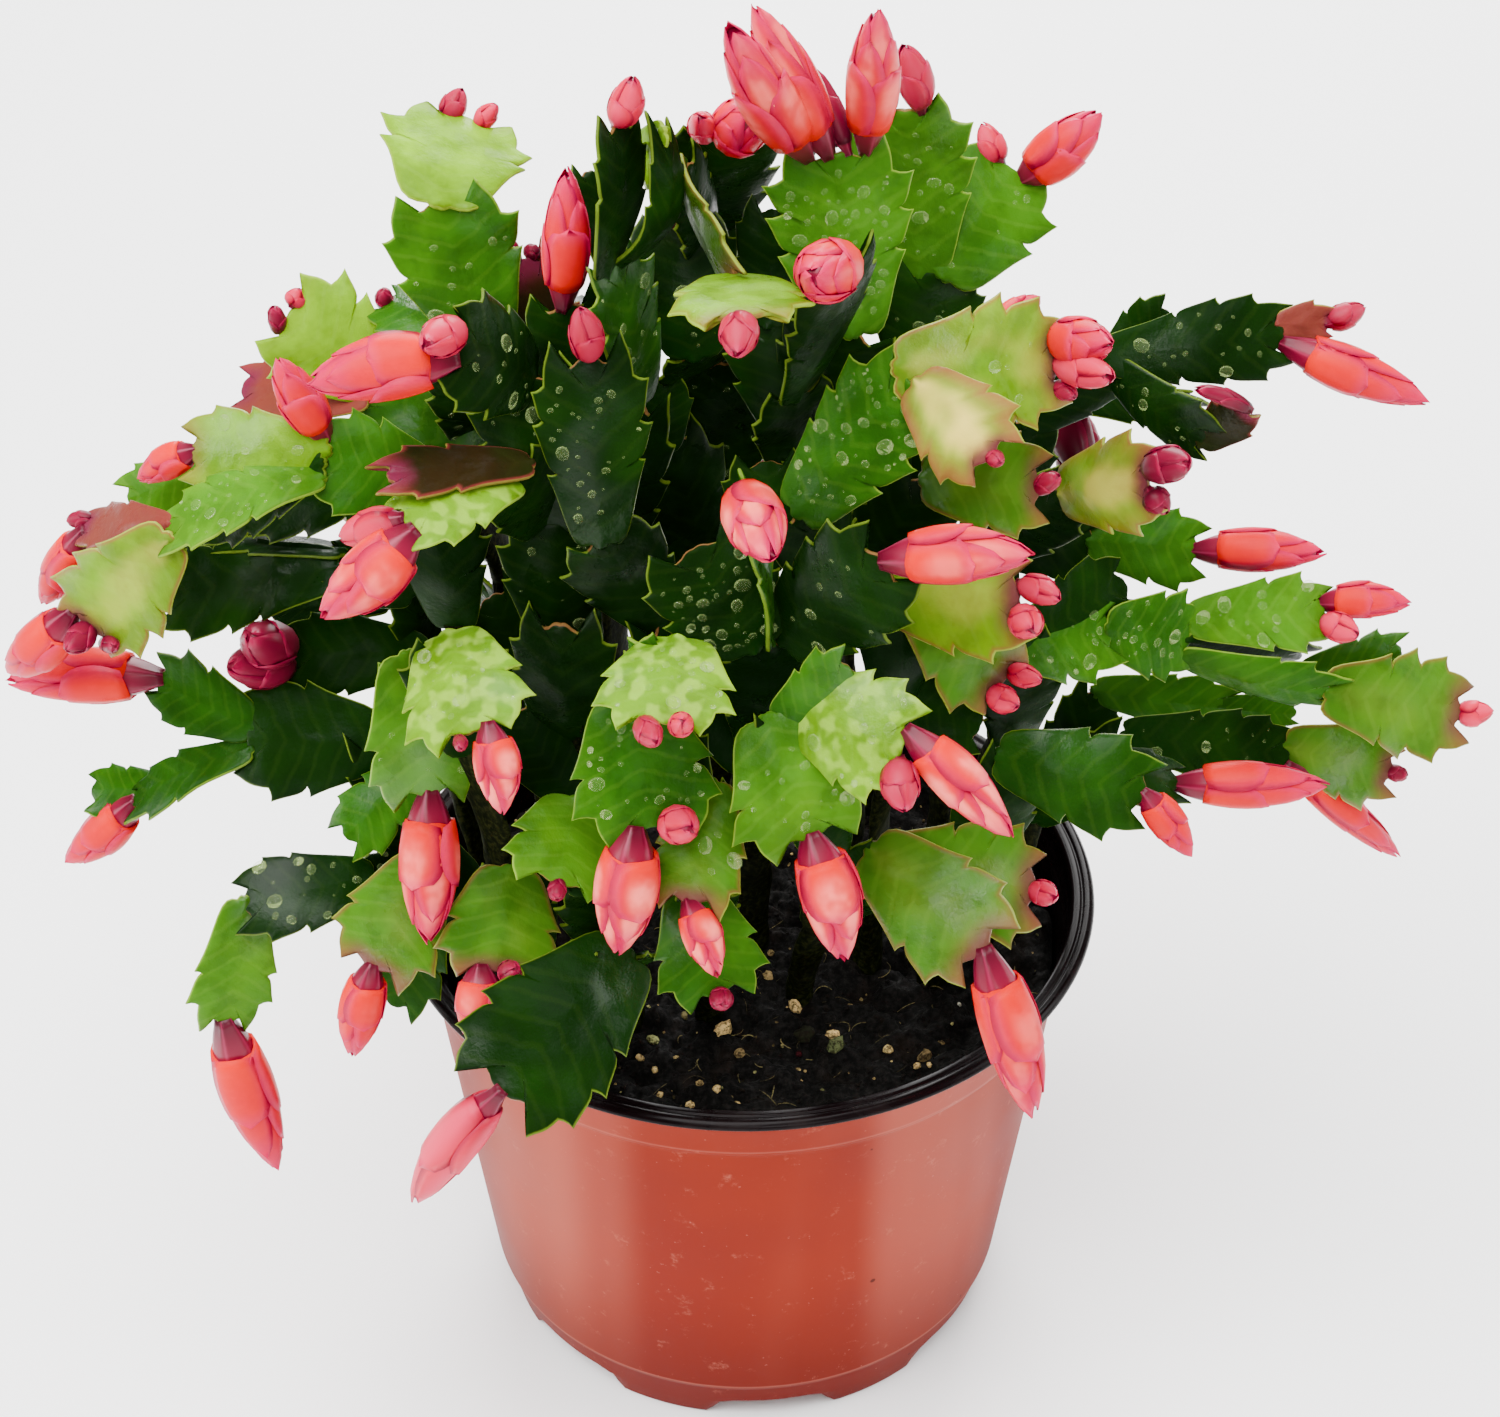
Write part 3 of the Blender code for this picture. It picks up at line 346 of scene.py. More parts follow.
# %% Pot profiles
def rounded_profile(corners, radius, steps=5):
    """The corners of a profile, each replaced by a short curve: a quadratic bend that starts and ends this
    far from the corner, or halfway along a shorter side."""
    corners = np.array(corners, float)
    out = [corners[:1]]
    for before, corner, after in zip(corners[:-2], corners[1:-1], corners[2:]):
        reach_in = min(radius, 0.45 * np.linalg.norm(before - corner))
        reach_out = min(radius, 0.45 * np.linalg.norm(after - corner))
        first = corner + unit(before - corner) * reach_in
        last = corner + unit(after - corner) * reach_out
        t = np.linspace(0.0, 1.0, steps)[:, None]
        out.append((1 - t) ** 2 * first + 2 * t * (1 - t) * corner + t ** 2 * last)
    out.append(corners[-1:])
    return np.concatenate(out)


def lathe(profile, sides, lift=None):
    """Each profile point (radius, height) at every angle round the axis, its height raised where asked."""
    angle = np.arange(sides) * 2 * math.pi / sides
    radius, height = profile[:, :1], profile[:, 1:]
    x, y = radius * np.cos(angle), radius * np.sin(angle)
    z = height + (lift(radius, height, angle) if lift else 0.0 * x)
    return np.stack([x, y, z], axis=-1).reshape(-1, 3)


def foot_lift(radius, height, angle):
    """Rise of the foot's edge in a notch: up to the floor's height within 9 degrees of the notch's middle,
    falling in a smooth step to nothing at 17 degrees."""
    pitch = 2 * math.pi / FOOT_COUNT
    off = np.abs((angle - FOOT_NOTCH_AT + pitch / 2) % pitch - pitch / 2)
    notch = np.clip((math.radians(17.0) - off) / math.radians(8.0), 0.0, 1.0)
    ceiling = FLOOR_LIFT * notch ** 2 * (3 - 2 * notch)
    foot = (radius > FOOT_RADIUS - 7.0) & (height < FLOOR_LIFT)
    return np.where(foot, np.maximum(ceiling - height, 0.0), 0.0)


lip_bottom = RIM_HEIGHT - LIP_DEPTH
outside = rounded_profile([
    (0.05, 0.0), (PAD_RADIUS, 0.0), (PAD_RADIUS + 2.5, FLOOR_LIFT), (FOOT_RADIUS - 6.0, FLOOR_LIFT),
    (FOOT_RADIUS - 4.5, 0.0), (FOOT_RADIUS, 0.0), (FOOT_RADIUS + 1.6, 6.2),
    (RING_RADIUS - 0.9, RING_HEIGHT - 0.6), (RING_RADIUS - 0.1, RING_HEIGHT + 0.1),
    (STEP_RADIUS - 0.3, STEP_HEIGHT - 1.2), (STEP_RADIUS + 0.9, STEP_HEIGHT),
    (STEP_RADIUS + 1.4, STEP_HEIGHT + 1.6), (RIM_RADIUS - 2.6, lip_bottom),
    (RIM_RADIUS - 0.6, lip_bottom + 0.9),
], 1.0)
lining = rounded_profile([
    (RIM_RADIUS - 0.6, lip_bottom + 0.9), (RIM_RADIUS, lip_bottom + 1.5),
    (RIM_RADIUS - 0.2, RIM_HEIGHT - 0.8), (RIM_RADIUS - 1.1, RIM_HEIGHT),
    (RIM_RADIUS - 2.3, RIM_HEIGHT - 0.05), (RIM_RADIUS - 2.6, RIM_HEIGHT - 0.5),
    (RIM_RADIUS - 3.0, RIM_HEIGHT - 0.5), (RIM_RADIUS - 3.3, RIM_HEIGHT - 0.1),
    (RIM_RADIUS - 4.8, RIM_HEIGHT - 0.25), (RIM_RADIUS - 5.3, RIM_HEIGHT - 1.0),
    (RIM_RADIUS - 5.5, 106.6), (RIM_RADIUS - 5.9, 106.0), (RIM_RADIUS - 6.1, 104.4),
    (RIM_RADIUS - 6.6, 103.8), (STEP_RADIUS - WALL, STEP_HEIGHT), (RING_RADIUS - WALL, RING_HEIGHT),
    (FOOT_RADIUS - 2.0, FLOOR_LIFT + WALL), (0.05, FLOOR_LIFT + WALL),
], 0.7)
pot_wall, pot_lining = (
    add_piece(name, [(lathe(profile, POT_SIDES, lift),
                      grid_faces(len(profile), POT_SIDES, round_columns=True), {})],
              look, slot=slot, replaces=["pot"])
    for name, profile, lift, look, slot in (
        ("pot_wall", outside, foot_lift, terracotta, "terracotta_plastic"),
        ("pot_lining", lining, None, black_plastic, "black_plastic")))
print("pot wall faces", len(pot_wall.data.polygons), "lining faces", len(pot_lining.data.polygons))


# %% [markdown]
# ## Potting soil
# Fine black peat, damp, with fibres, crumbs and a few pale grains of bark. Being damp it is near black
# and dull, with only its wet crumbs a little glossy. Its top is a grid of rings and angles, raised by
# several sizes of seeded bumps, and small crumbs and grains are strewn over it.

# %% Peat material
peat = new_material("damp_peat")
crumb = noise(peat, 700.0, 5.0, 0.7)
patch = noise(peat, 90.0)
finish(peat, {"Base Color": washed(peat, "#040403", ((crumb, 0.4, 0.75), "#161310"),
                                   ((patch, 0.55, 0.8, 0.0, 0.6), "#221912")),
              "Roughness": (crumb, 0.35, 0.7, 0.95, 0.55), "Specular IOR Level": 0.1,
              "Normal": relief(peat, crumb, 0.8, 0.0006)})

# %% Bark and grit
grain = new_material("bark_and_grit")
tone, hue = channels(grain, "grain")[:2]
pores = noise(grain, 1100.0, 4.0, 0.7)
pale = washed(grain, "#D8B878", ((hue, 0.5, 0.9), "#8E9A60"), ((hue, 0.0, 0.4, 1.0, 0.0), "#8E2038"),
              ((tone, 0.9, 1.0), "#B8BCA8"))
finish(grain, {"Base Color": washed(grain, "#070504", ((tone, 0.02, 0.75), pale),
                                    ((pores, 0.40, 0.56, 0.85, 0.0), "#120C07")),
               "Roughness": 0.85, "Specular IOR Level": 0.1})


# %% Soil surface
SOIL_TOP = 98.2
SOIL_RINGS, SOIL_SIDES = 80, 240
dice = np.random.default_rng(31)


def soil_height(x, y):
    """Height of the soil: slow waves like the CAD's, then a sum of sine ripples of many directions."""
    height = SOIL_TOP + 0.7 * (np.sin(0.19 * x + 0.6) * np.cos(0.23 * y) + 0.6 * np.sin(0.41 * y + 0.3 * x))
    ripple = np.random.default_rng(7)
    for size in (0.5, 0.9, 1.5, 2.4):
        for k in range(5):
            heading = ripple.uniform(0, math.pi)
            way = x * math.cos(heading) + y * math.sin(heading)
            height = height + 0.3 / size ** 0.7 * np.sin(size * way + ripple.uniform(0, 6.3))
    return height


def soil_surface():
    """A closed round block: the top, from the middle out, then a rounded edge, the side and the bottom."""
    share = np.linspace(0.005, 1.0, SOIL_RINGS)
    top_radius = STEP_RADIUS - WALL - 1.0
    angle = np.arange(SOIL_SIDES) * 2 * math.pi / SOIL_SIDES
    below = [(top_radius + 0.1, SOIL_TOP - 8.0), (RING_RADIUS - WALL - 1.0, RING_HEIGHT + 1.0),
             (53.0, FLOOR_LIFT + 1.6), (0.4, FLOOR_LIFT + 1.6)]
    radius = np.concatenate([share * top_radius, [ring[0] for ring in below]])[:, None]
    x, y = radius * np.cos(angle), radius * np.sin(angle)
    z = soil_height(x, y)
    edge = np.clip((radius / top_radius - 0.94) / 0.06, 0, 1) ** 2
    z = z - 1.6 * edge
    z[SOIL_RINGS:] = np.array([ring[1] for ring in below])[:, None]
    return np.stack([x, y, z], -1).reshape(-1, 3), grid_faces(len(z), SOIL_SIDES, round_columns=True), {}


soil = add_piece("soil_top", [soil_surface()], peat, weld=0.001, slot="potting_soil", replaces=["soil"])
print("soil faces", len(soil.data.polygons))

# %% Crumbs, grains and fibres on the soil
GRAINS = [  # each larger grain: where it is seen, its width in mm, how pale it is, how green
    (722, 1036, 5.6, 0.85, 0.0), (795, 1005, 3.4, 0.7, 0.0), (768, 980, 2.4, 0.35, 0.0),
    (771, 953, 1.8, 0.3, 0.0), (833, 1044, 2.8, 0.8, 0.0), (836, 1057, 4.2, 0.3, 0.8),
    (888, 1051, 2.4, 0.85, 0.2), (925, 1053, 3.2, 0.25, 0.0), (917, 1065, 1.8, 0.9, 0.0),
    (930, 1061, 1.4, 0.9, 0.0), (959, 1007, 1.3, 1.0, 0.1), (740, 1054, 2.6, 0.3, 0.0),
    (717, 1095, 2.0, 0.6, 0.0), (799, 1049, 1.7, 0.2, -1.0), (804, 1036, 4.2, 0.1, 0.8),
    (653, 1040, 3.0, 0.6, 0.6), (660, 1098, 1.7, 0.6, 0.1), (700, 1088, 1.5, 0.4, 0.0),
    (737, 1101, 1.6, 0.6, 0.1), (690, 1103, 1.9, 0.7, 0.0), (850, 1003, 1.2, 0.3, 0.1),
    (862, 990, 1.1, 0.4, 0.2), (941, 1040, 1.6, 0.3, 0.0), (655, 1072, 1.5, 0.6, 0.2),
    (622, 1045, 2.4, 0.6, 0.3), (684, 1012, 2.0, 0.3, 0.4), (676, 1060, 1.6, 0.5, 0.2),
    (640, 1062, 1.8, 0.5, 0.1),
]


def seen_on_soil(across, down):
    """Where a pixel's sight line reaches the height of the soil's top."""
    near_place, far_place = seen(across, down, 60.0), seen(across, down, 0.0)
    share = (SOIL_TOP - near_place[2]) / (far_place[2] - near_place[2])
    return near_place + (far_place - near_place) * share


# %% [markdown]
# Crumbs and grains are small rough pebbles. All of one group are worked out together, as one array with a
# row for each pebble, because there are more than a thousand.

# %% Pebbles and where they lie
def lumps(centres, size, squash, rough, rng):
    """Rough pebbles: a small ball's directions, scaled by a random size on each axis, turned at random and
    pushed in or out at every point."""
    count, rows, columns = len(centres), 6, 7
    lat = np.linspace(-math.pi / 2, math.pi / 2, rows)[:, None]
    lon = np.arange(columns)[None, :] * 2 * math.pi / columns
    ball = np.stack([np.cos(lat) * np.cos(lon), np.cos(lat) * np.sin(lon), np.sin(lat) + 0 * lon], -1)
    ball = ball.reshape(-1, 3)
    push = 1.0 + rough * rng.standard_normal((count, rows, columns))
    push[:, 0], push[:, -1] = push[:, :1, 0], push[:, -1:, 0]
    scale = size[:, None] * np.stack([rng.uniform(0.8, 1.2, count), rng.uniform(0.6, 1.0, count),
                                      np.full(count, squash)], -1)
    spin, tip = rng.uniform(0, 6.28, count), rng.normal(0, 0.35, count)
    local = ball[None] * push.reshape(count, -1, 1) * scale[:, None]
    x, y, z = local[..., 0], local[..., 1], local[..., 2]
    cos_tip, sin_tip, cos_spin, sin_spin = (turn[:, None] for turn in (np.cos(tip), np.sin(tip),
                                                                       np.cos(spin), np.sin(spin)))
    y, z = y * cos_tip - z * sin_tip, y * sin_tip + z * cos_tip
    x, y = x * cos_spin - y * sin_spin, x * sin_spin + y * cos_spin
    points = centres[:, None] + np.stack([x, y, z], -1)
    return points.reshape(-1, 3), repeated_faces(count, rows, columns), rows * columns


def scattered(count, reach, rng):
    """Places spread evenly over the soil: the radius goes with the root of a random share."""
    radius, angle = reach * np.sqrt(rng.uniform(0, 1, count)), rng.uniform(0, 2 * math.pi, count)
    x, y = radius * np.cos(angle), radius * np.sin(angle)
    return np.stack([x, y, soil_height(x, y)], -1)


def toned(lump, tone, hue):
    """A group of lumps with its grain attribute: how pale each one is, and its hue, on all its points."""
    points, faces, per = lump
    colours = np.stack([tone, hue + 0 * tone, 0 * tone, 1 + 0 * tone], -1)
    return points, faces, {"grain": np.repeat(colours, per, axis=0)}


# %% Crumbs and grains on the soil
CRUMB_COUNT, SPECK_COUNT = 1500, 170
crumbs = scattered(CRUMB_COUNT, 67.5, dice)
crumb_size = 0.28 * np.exp(dice.normal(0.25, 0.5, CRUMB_COUNT)).clip(0.4, 4.0)
grit = [toned(lumps(crumbs, crumb_size, 0.6, 0.16, dice), dice.uniform(0, 0.05, CRUMB_COUNT), 0.5)]
specks = scattered(SPECK_COUNT, 67.0, dice)
grit.append(toned(lumps(specks, dice.uniform(0.22, 0.6, SPECK_COUNT), 0.7, 0.14, dice),
                  dice.uniform(0.1, 0.7, SPECK_COUNT), dice.uniform(0.4, 0.8, SPECK_COUNT)))
grains = np.array([seen_on_soil(across, down) for across, down, *rest in GRAINS])
width, paleness, greenness = np.array([rest for across, down, *rest in GRAINS]).T
grains[:, 2] = soil_height(grains[:, 0], grains[:, 1]) + 0.15 * width
grit.append(toned(lumps(grains, width * 0.56, 0.75, 0.10, dice), paleness, 0.5 + 0.5 * greenness))
add_piece("soil_grit", grit, grain, weld=0.0005, slot="soil_grit", smooth=False)
print("crumbs, specks and grains:", CRUMB_COUNT, SPECK_COUNT, len(GRAINS))

# %% Fibres
FIBRE_COUNT, FIBRE_STEPS, FIBRE_SIDES = 240, 7, 5


def fibre_parts(count, rng):
    """Thin roots and fibres: a thread with few sides, carried along a path that curves and rises a little,
    and drawn together at both ends."""
    base = scattered(count, 66.0, rng)
    heading, bend = rng.uniform(0, 6.28, count), rng.normal(0, 0.9, count)
    length, lift = rng.uniform(2.0, 7.0, count), rng.uniform(0.1, 1.0, count)
    share = np.linspace(0, 1, FIBRE_STEPS)
    way = heading[:, None] + bend[:, None] * share
    reach = length[:, None] * share
    centre = base[:, None] + np.stack([reach * np.cos(way), reach * np.sin(way),
                                       0.15 + lift[:, None] * np.sin(math.pi * share)], -1)
    side = np.stack([-np.sin(way), np.cos(way), 0 * way], -1)
    around = np.arange(FIBRE_SIDES) * 2 * math.pi / FIBRE_SIDES
    thin = rng.uniform(0.05, 0.13, count)[:, None, None] * (1 - 0.6 * share ** 3)[None, :, None]
    points = (centre[:, :, None] + side[:, :, None] * (thin * np.cos(around))[..., None]
              + np.array([0, 0, 1.0]) * (thin * np.sin(around))[..., None])
    ends = [centre[:, [i], None].repeat(FIBRE_SIDES, 2) for i in (0, -1)]
    points = np.concatenate([ends[0], points, ends[1]], axis=1)
    rows = FIBRE_STEPS + 2
    fibres = points.reshape(-1, 3), repeated_faces(count, rows, FIBRE_SIDES), rows * FIBRE_SIDES
    return toned(fibres, rng.uniform(0.05, 0.42, count), 0.7)


add_piece("soil_fibres", [fibre_parts(FIBRE_COUNT, dice)], grain, weld=0.0005, slot="soil_grit")
print("fibres:", FIBRE_COUNT)


# %% [markdown]
# ## The segments' outline
# A real segment is flat, with a smooth round lower half, and two or three claws on each side that point
# toward its tip. The tip is cut off square between two horns, and has a tan line where the next segment
# or bud breaks out. The outline is drawn as arcs from one claw to the next, first bulging out, then
# dropping back into the notch behind the claw.

# %% Outline of one side
def arc(first, last, bulge, count, early=0.0):
    """From first to last, pushed out sideways by a sine of the way along, plus so much of a double sine,
    which makes it bulge early and straighten before its end."""
    t = np.linspace(0.0, 1.0, count, endpoint=False)[:, None]
    step = last - first
    out = np.array([-step[1], step[0]])
    return first + step * t + out * bulge * (np.sin(math.pi * t) + early * np.sin(2 * math.pi * t))


# How wide a segment is along its length, and where its claws are, as shares of its half width and length
ENVELOPE = np.array([(0.0, 0.16), (0.12, 0.42), (0.28, 0.74), (0.45, 0.93), (0.62, 1.02), (0.78, 1.03),
                     (0.92, 0.93)])
CLAWS = {1: [0.66], 2: [0.52, 0.79], 3: [0.40, 0.62, 0.83]}
HOOK = 0.35  # how early the sides bulge below each claw


def side_outline(rng, claws, old):
    """Half of an outline, from the neck to the middle of the tip: (share of length, share of half width).

    Each claw's tip and the notch behind it wander a little from their usual places."""
    wander = lambda size: rng.uniform(-size, size)
    here = np.array([0.02, 0.17])
    pieces = [arc(np.array([0.0, 0.0]), here, 0.1, 3)]
    for number, spot in enumerate(CLAWS[claws]):
        spot = spot + wander(0.03)
        out = np.interp(spot, ENVELOPE[:, 0], ENVELOPE[:, 1]) + wander(0.03)
        size = (0.75 if old else 1.0) * rng.uniform(0.7, 1.25) * (0.8 + 0.2 * number)
        tip = np.array([spot + 0.045, out + 0.12 * size])
        notch = np.array([spot + 0.062 + wander(0.008), out - 0.17 * size])
        pieces.append(arc(here, tip, 0.13 if number == 0 else 0.10, 9 if number == 0 else 7, HOOK))
        pieces.append(arc(tip, notch, -0.04, 3))
        here = notch
    horn = np.array([1.09 + wander(0.03), 0.66 + wander(0.07)])
    valley = np.array([0.965, 0.27 + wander(0.04)])
    pieces.append(arc(here, horn, 0.10, 7, HOOK))
    pieces.append(arc(horn, valley, -0.16, 4))
    pieces.append(arc(valley, np.array([0.985, 0.0]), 0.06, 5))
    return np.concatenate(pieces + [[[0.985, 0.0]]])


sample = side_outline(np.random.default_rng(1), 2, False)
print("outline points on a side:", len(sample))

# %% [markdown]
# ## A segment's skin
# Lines run from the midrib out to the outline, slanting forward as the real veins do. Both faces share
# the outline's edge, so the skin is closed. It is thickest at the midrib, has a rounded edge, bows along
# its length and cups across it.

# %% Segment surface
NECK = 2.2  # how far a segment starts inside what it grows from, in mm
ACROSS = np.array([0.0, 0.07, 0.20, 0.40, 0.62, 0.82, 0.93, 0.98, 1.0])


def segment_frame(base, tip, turn):
    """Directions of a segment: along it, across it, and out of its upper face, which looks at the viewer
    as squarely as it can before its turn."""
    along = unit(tip - base)
    face = unit(VIEW_BACK - np.dot(VIEW_BACK, along) * along)
    face = turned(face, along, turn)
    return along, np.cross(along, face), face


class Segment:
    """A segment's place and curves: point(s, t) and normal(s, t) give its middle surface, where s goes
    from 0 at the base to 1 at the tip, and t from -1 to 1 across the full width."""

    def __init__(self, base, tip, width, turn, bow, tint, rng):
        self.along, self.across, self.face = segment_frame(base, tip, turn)
        self.start = base - self.along * NECK
        self.length = np.linalg.norm(tip - self.start)
        self.half = width / 2.0
        self.bow = bow
        self.cup = rng.uniform(-2.4, 0.3)
        self.twist = math.radians(rng.uniform(-9, 9))
        self.ripple = rng.uniform(0.25, 0.75) * (0.4 if tint == "old" else 1.0)
        self.phase = rng.uniform(0, 6.28, 2)
        self.hollow = 0.12 if tint in ("old", "dark", "deep") else 0.17

    def rise(self, s, t):
        """Height over the flat plane: the bow along, the cup across, slow ripples near the edge, and
        shallow hollows between the veins."""
        side = np.where(t < 0, self.phase[0], self.phase[1])
        ends = np.clip(np.sin(math.pi * np.clip(s, 0, 1)), 0, 1)
        return (self.bow * 4 * s * (1 - s) + self.cup * t ** 2 * ends ** 0.5
                + self.ripple * t ** 2 * np.sin(8.0 * s + side)
                + self.hollow * np.sin(3.2 * np.abs(t)) * np.sin(11.0 * s - 4.0 * np.abs(t) + side) * ends)

    def point(self, s, t):
        """Start + along * s * length + across * t * half + face * rise, with across and face turned by
        the twist."""
        s, t = np.asarray(s, float), np.asarray(t, float)
        swing = self.twist * (s - 0.5)
        aside = (t * self.half)[..., None]
        rise = self.rise(s, t)[..., None]
        across = self.across * np.cos(swing)[..., None] + self.face * np.sin(swing)[..., None]
        face = self.face * np.cos(swing)[..., None] - self.across * np.sin(swing)[..., None]
        return self.start + self.along * (s * self.length)[..., None] + across * aside + face * rise

    def normal(self, s, t):
        """The cross product of two small steps, one along and one across."""
        small = 0.01
        ds = self.point(s + small, t) - self.point(s - small, t)
        dt = self.point(s, t + small) - self.point(s, t - small)
        return unit(np.cross(ds, dt))


# %% [markdown]
# Four numbers say how a segment looks: how young it is, how far its tip has blushed, how creamy it is, and
# how russet. Points also carry where they are along and across the segment, for the veins and the margin.

# %% Thickness and tints
def half_thickness(s, u, t, old):
    """Half of the flesh's thickness in mm: a flat blade with a round edge, a low rib along its middle, and
    a thick neck and tip where it joins its neighbours."""
    blade = (0.9 if old else 0.68) * np.sqrt(np.clip(1.0 - u ** 14, 0.0, 1.0))
    rib = (0.35 if old else 0.12) * np.exp(-(t / 0.12) ** 2)
    ends = 0.9 * np.exp(-s / 0.05) + 0.45 * np.exp(-(1.0 - np.clip(s, 0, 1)) / 0.04)
    return blade + (rib + ends * np.exp(-(t / 0.25) ** 2)) * (1.0 - u ** 4)


TINTS = {  # how young, how blushed, how creamy, how russet
    "old": (0.0, 0.0, 0.0, 0.0), "dark": (0.10, 0.03, 0.0, 0.0), "deep": (0.26, 0.03, 0.0, 0.0),
    "mid": (0.45, 0.08, 0.0, 0.0), "leafy": (0.54, 0.05, 0.0, 0.0), "fresh": (0.64, 0.12, 0.0, 0.0),
    "light": (0.98, 0.18, 0.0, 0.0), "lime": (0.80, 0.12, 0.0, 0.0), "olive": (0.62, 0.62, 0.03, 0.16),
    "blush": (0.88, 0.80, 0.20, 0.06), "dusk": (0.85, 0.86, 0.5, 0.12), "sunlit": (0.90, 0.50, 0.0, 0.05),
    "rust": (0.61, 0.66, 0.04, 0.12), "cream": (0.88, 0.85, 0.8, 0.05), "mauve": (0.30, 1.0, 0.0, 0.5),
    "russet": (0.10, 0.75, 0.0, 0.8), "stalk": (0.40, 0.4, 0.0, 0.5),
}
print("tints:", len(TINTS))


# %% A segment's closed skin
# A segment shorter than the first length has one claw a side. Three claws take the second length, and
# this half width, in mm.
ONE_CLAW, THREE_CLAWS, THREE_CLAWS_HALF = 17, 33, 6.5


def segment_part(shape, tint, rng):
    """The closed skin of one segment: its middle surface plus and minus its half thickness along the
    normal, on lines that run from the midrib (u = 0) to the outline (u = 1)."""
    old = tint in ("old", "dark")
    many = shape.length >= THREE_CLAWS and shape.half >= THREE_CLAWS_HALF
    claws = 1 if shape.length < ONE_CLAW else 3 if many else 2
    right = side_outline(rng, claws, old)
    left = side_outline(rng, claws, old)
    loop_s = np.concatenate([right[:, 0], left[::-1, 0]])
    loop_t = np.concatenate([right[:, 1], -left[::-1, 1]])
    ribs = [0.03 + 0.93 * np.linspace(0, 1, len(side)) ** 0.9 for side in (right, left)]
    rib_s = np.concatenate([ribs[0], ribs[1][::-1]])
    u = ACROSS[None, :]
    s = rib_s[:, None] * (1 - u) + loop_s[:, None] * u
    t = loop_t[:, None] * u
    thick = half_thickness(s, u, t, tint == "old")
    middle = shape.point(s, t)
    normal = shape.normal(s, t)
    top = middle + normal * thick[..., None]
    bottom = middle - normal * thick[..., None]
    count = len(loop_s)
    young, blush, cream, russet = TINTS[tint]
    seed = rng.uniform()  # a number of each segment's own
    whole = np.ones_like(s)
    scar = (s > 0.93) * np.clip((0.40 - np.abs(t)) / 0.08, 0.0, 1.0) * (u > 0.95)
    colours = {"flesh": (whole * young, s, u * whole, whole * seed),
               "marks": (whole * blush, scar, 0 * s, whole),
               "more": (whole * cream, whole * russet, np.abs(t), whole)}
    points = np.concatenate([top.reshape(-1, 3), bottom.reshape(-1, 3)])
    faces = np.concatenate([grid_faces(count, len(ACROSS), 0, round_rows=True),
                            grid_faces(count, len(ACROSS), count * len(ACROSS), round_rows=True)[:, ::-1]])
    return points, faces, {name: np.tile(np.stack(values, -1).reshape(-1, 4), (2, 1))
                           for name, values in colours.items()}


# %% [markdown]
# ## Old wood
# Inside the bush the oldest segments have thickened to jointed, corky canes that stand in the soil. Each
# is a flattened tube: an oval carried along a path, narrow at its joints and wider between them.

# %% Cane surface
CANE_ROWS, CANE_SIDES = 9, 14
# Half widths in mm: in the soil, in the lowest joint's middle, and how much more in each joint above
CANE_FOOT, CANE_WIDE, CANE_WIDER = 3.1, 4.2, 1.4


def cane_side(root):
    """The level direction across a cane: square to the way from the pot's axis to the cane's root."""
    outward = np.array([root[0], -root[1], 0.0])
    outward = unit(outward) if np.linalg.norm(outward) > 1.0 else np.array([1.0, 0.0, 0.0])
    return unit(np.cross([0.0, 0.0, 1.0], outward))


def cane_part(root, joints, rng):
    """The tube of one cane: an oval of changing width carried along straight steps between the joints."""
    path = np.array([at(*root, SOIL_TOP - 8.0), at(*root, SOIL_TOP + 3.0)] + [at(*joint) for joint in joints])
    side = cane_side(root)
    rings, widths, thicks = [path[:1]], [np.array([CANE_FOOT])], [np.array([CANE_FOOT])]
    steps = [np.array([[0, 0, 1.0]])]
    for number in range(1, len(path) - 1):
        share = np.linspace(0.0, 1.0, CANE_ROWS)
        step = path[number + 1] - path[number]
        wide = CANE_WIDE + CANE_WIDER * (number - 1)
        wide = wide * (0.55 + 0.45 * np.sin(math.pi * share ** 1.4) ** 0.8)
        thick = np.full(CANE_ROWS, 1.6) + 0.5 * np.cos(2 * math.pi * share)
        if number == 1:
            thick = thick + 1.2 * (1 - share)
            wide = np.maximum(wide, 3.2 * (1 - share))
        if number == len(path) - 2:
            wide = np.where(share > 0.9, wide * 0.8, wide)
        rings.append(path[number] + step * share[:, None])
        widths.append(wide)
        thicks.append(thick)
        steps.append(np.repeat(unit(step)[None], CANE_ROWS, 0))
    centre, wide, thick, step = (np.concatenate(x) for x in (rings, widths, thicks, steps))
    across = unit(side - step * (step @ side)[:, None])
    face = np.cross(step, across)
    angle = np.arange(CANE_SIDES) * 2 * math.pi / CANE_SIDES
    knob = 1.0 + 0.06 * rng.standard_normal((len(centre), CANE_SIDES))
    points = (centre[:, None] + across[:, None] * (wide[:, None] * np.cos(angle) * knob)[..., None]
              + face[:, None] * (thick[:, None] * np.sin(angle) * knob)[..., None])
    caps = np.repeat(centre[[0, -1]][:, None], CANE_SIDES, 1)
    points = np.concatenate([caps[:1], points, caps[1:]])
    faces = grid_faces(len(points), CANE_SIDES, round_columns=True)
    points = points.reshape(-1, 3)
    plain = np.zeros((len(points), 4))
    return points, faces, {"flesh": plain + np.array([-1.0, 0.5, 0.4, 1.0]), "marks": plain, "more": plain}


# %% [markdown]
# ## Buds
# A mature bud is a short crimson tube that opens into layers of pointed petals, wrapped round each other
# like tiles. Each petal is its own thin closed shell that follows the bud's round body, so its edge throws
# a real shadow. A young bud is the same with fewer, shorter petals.

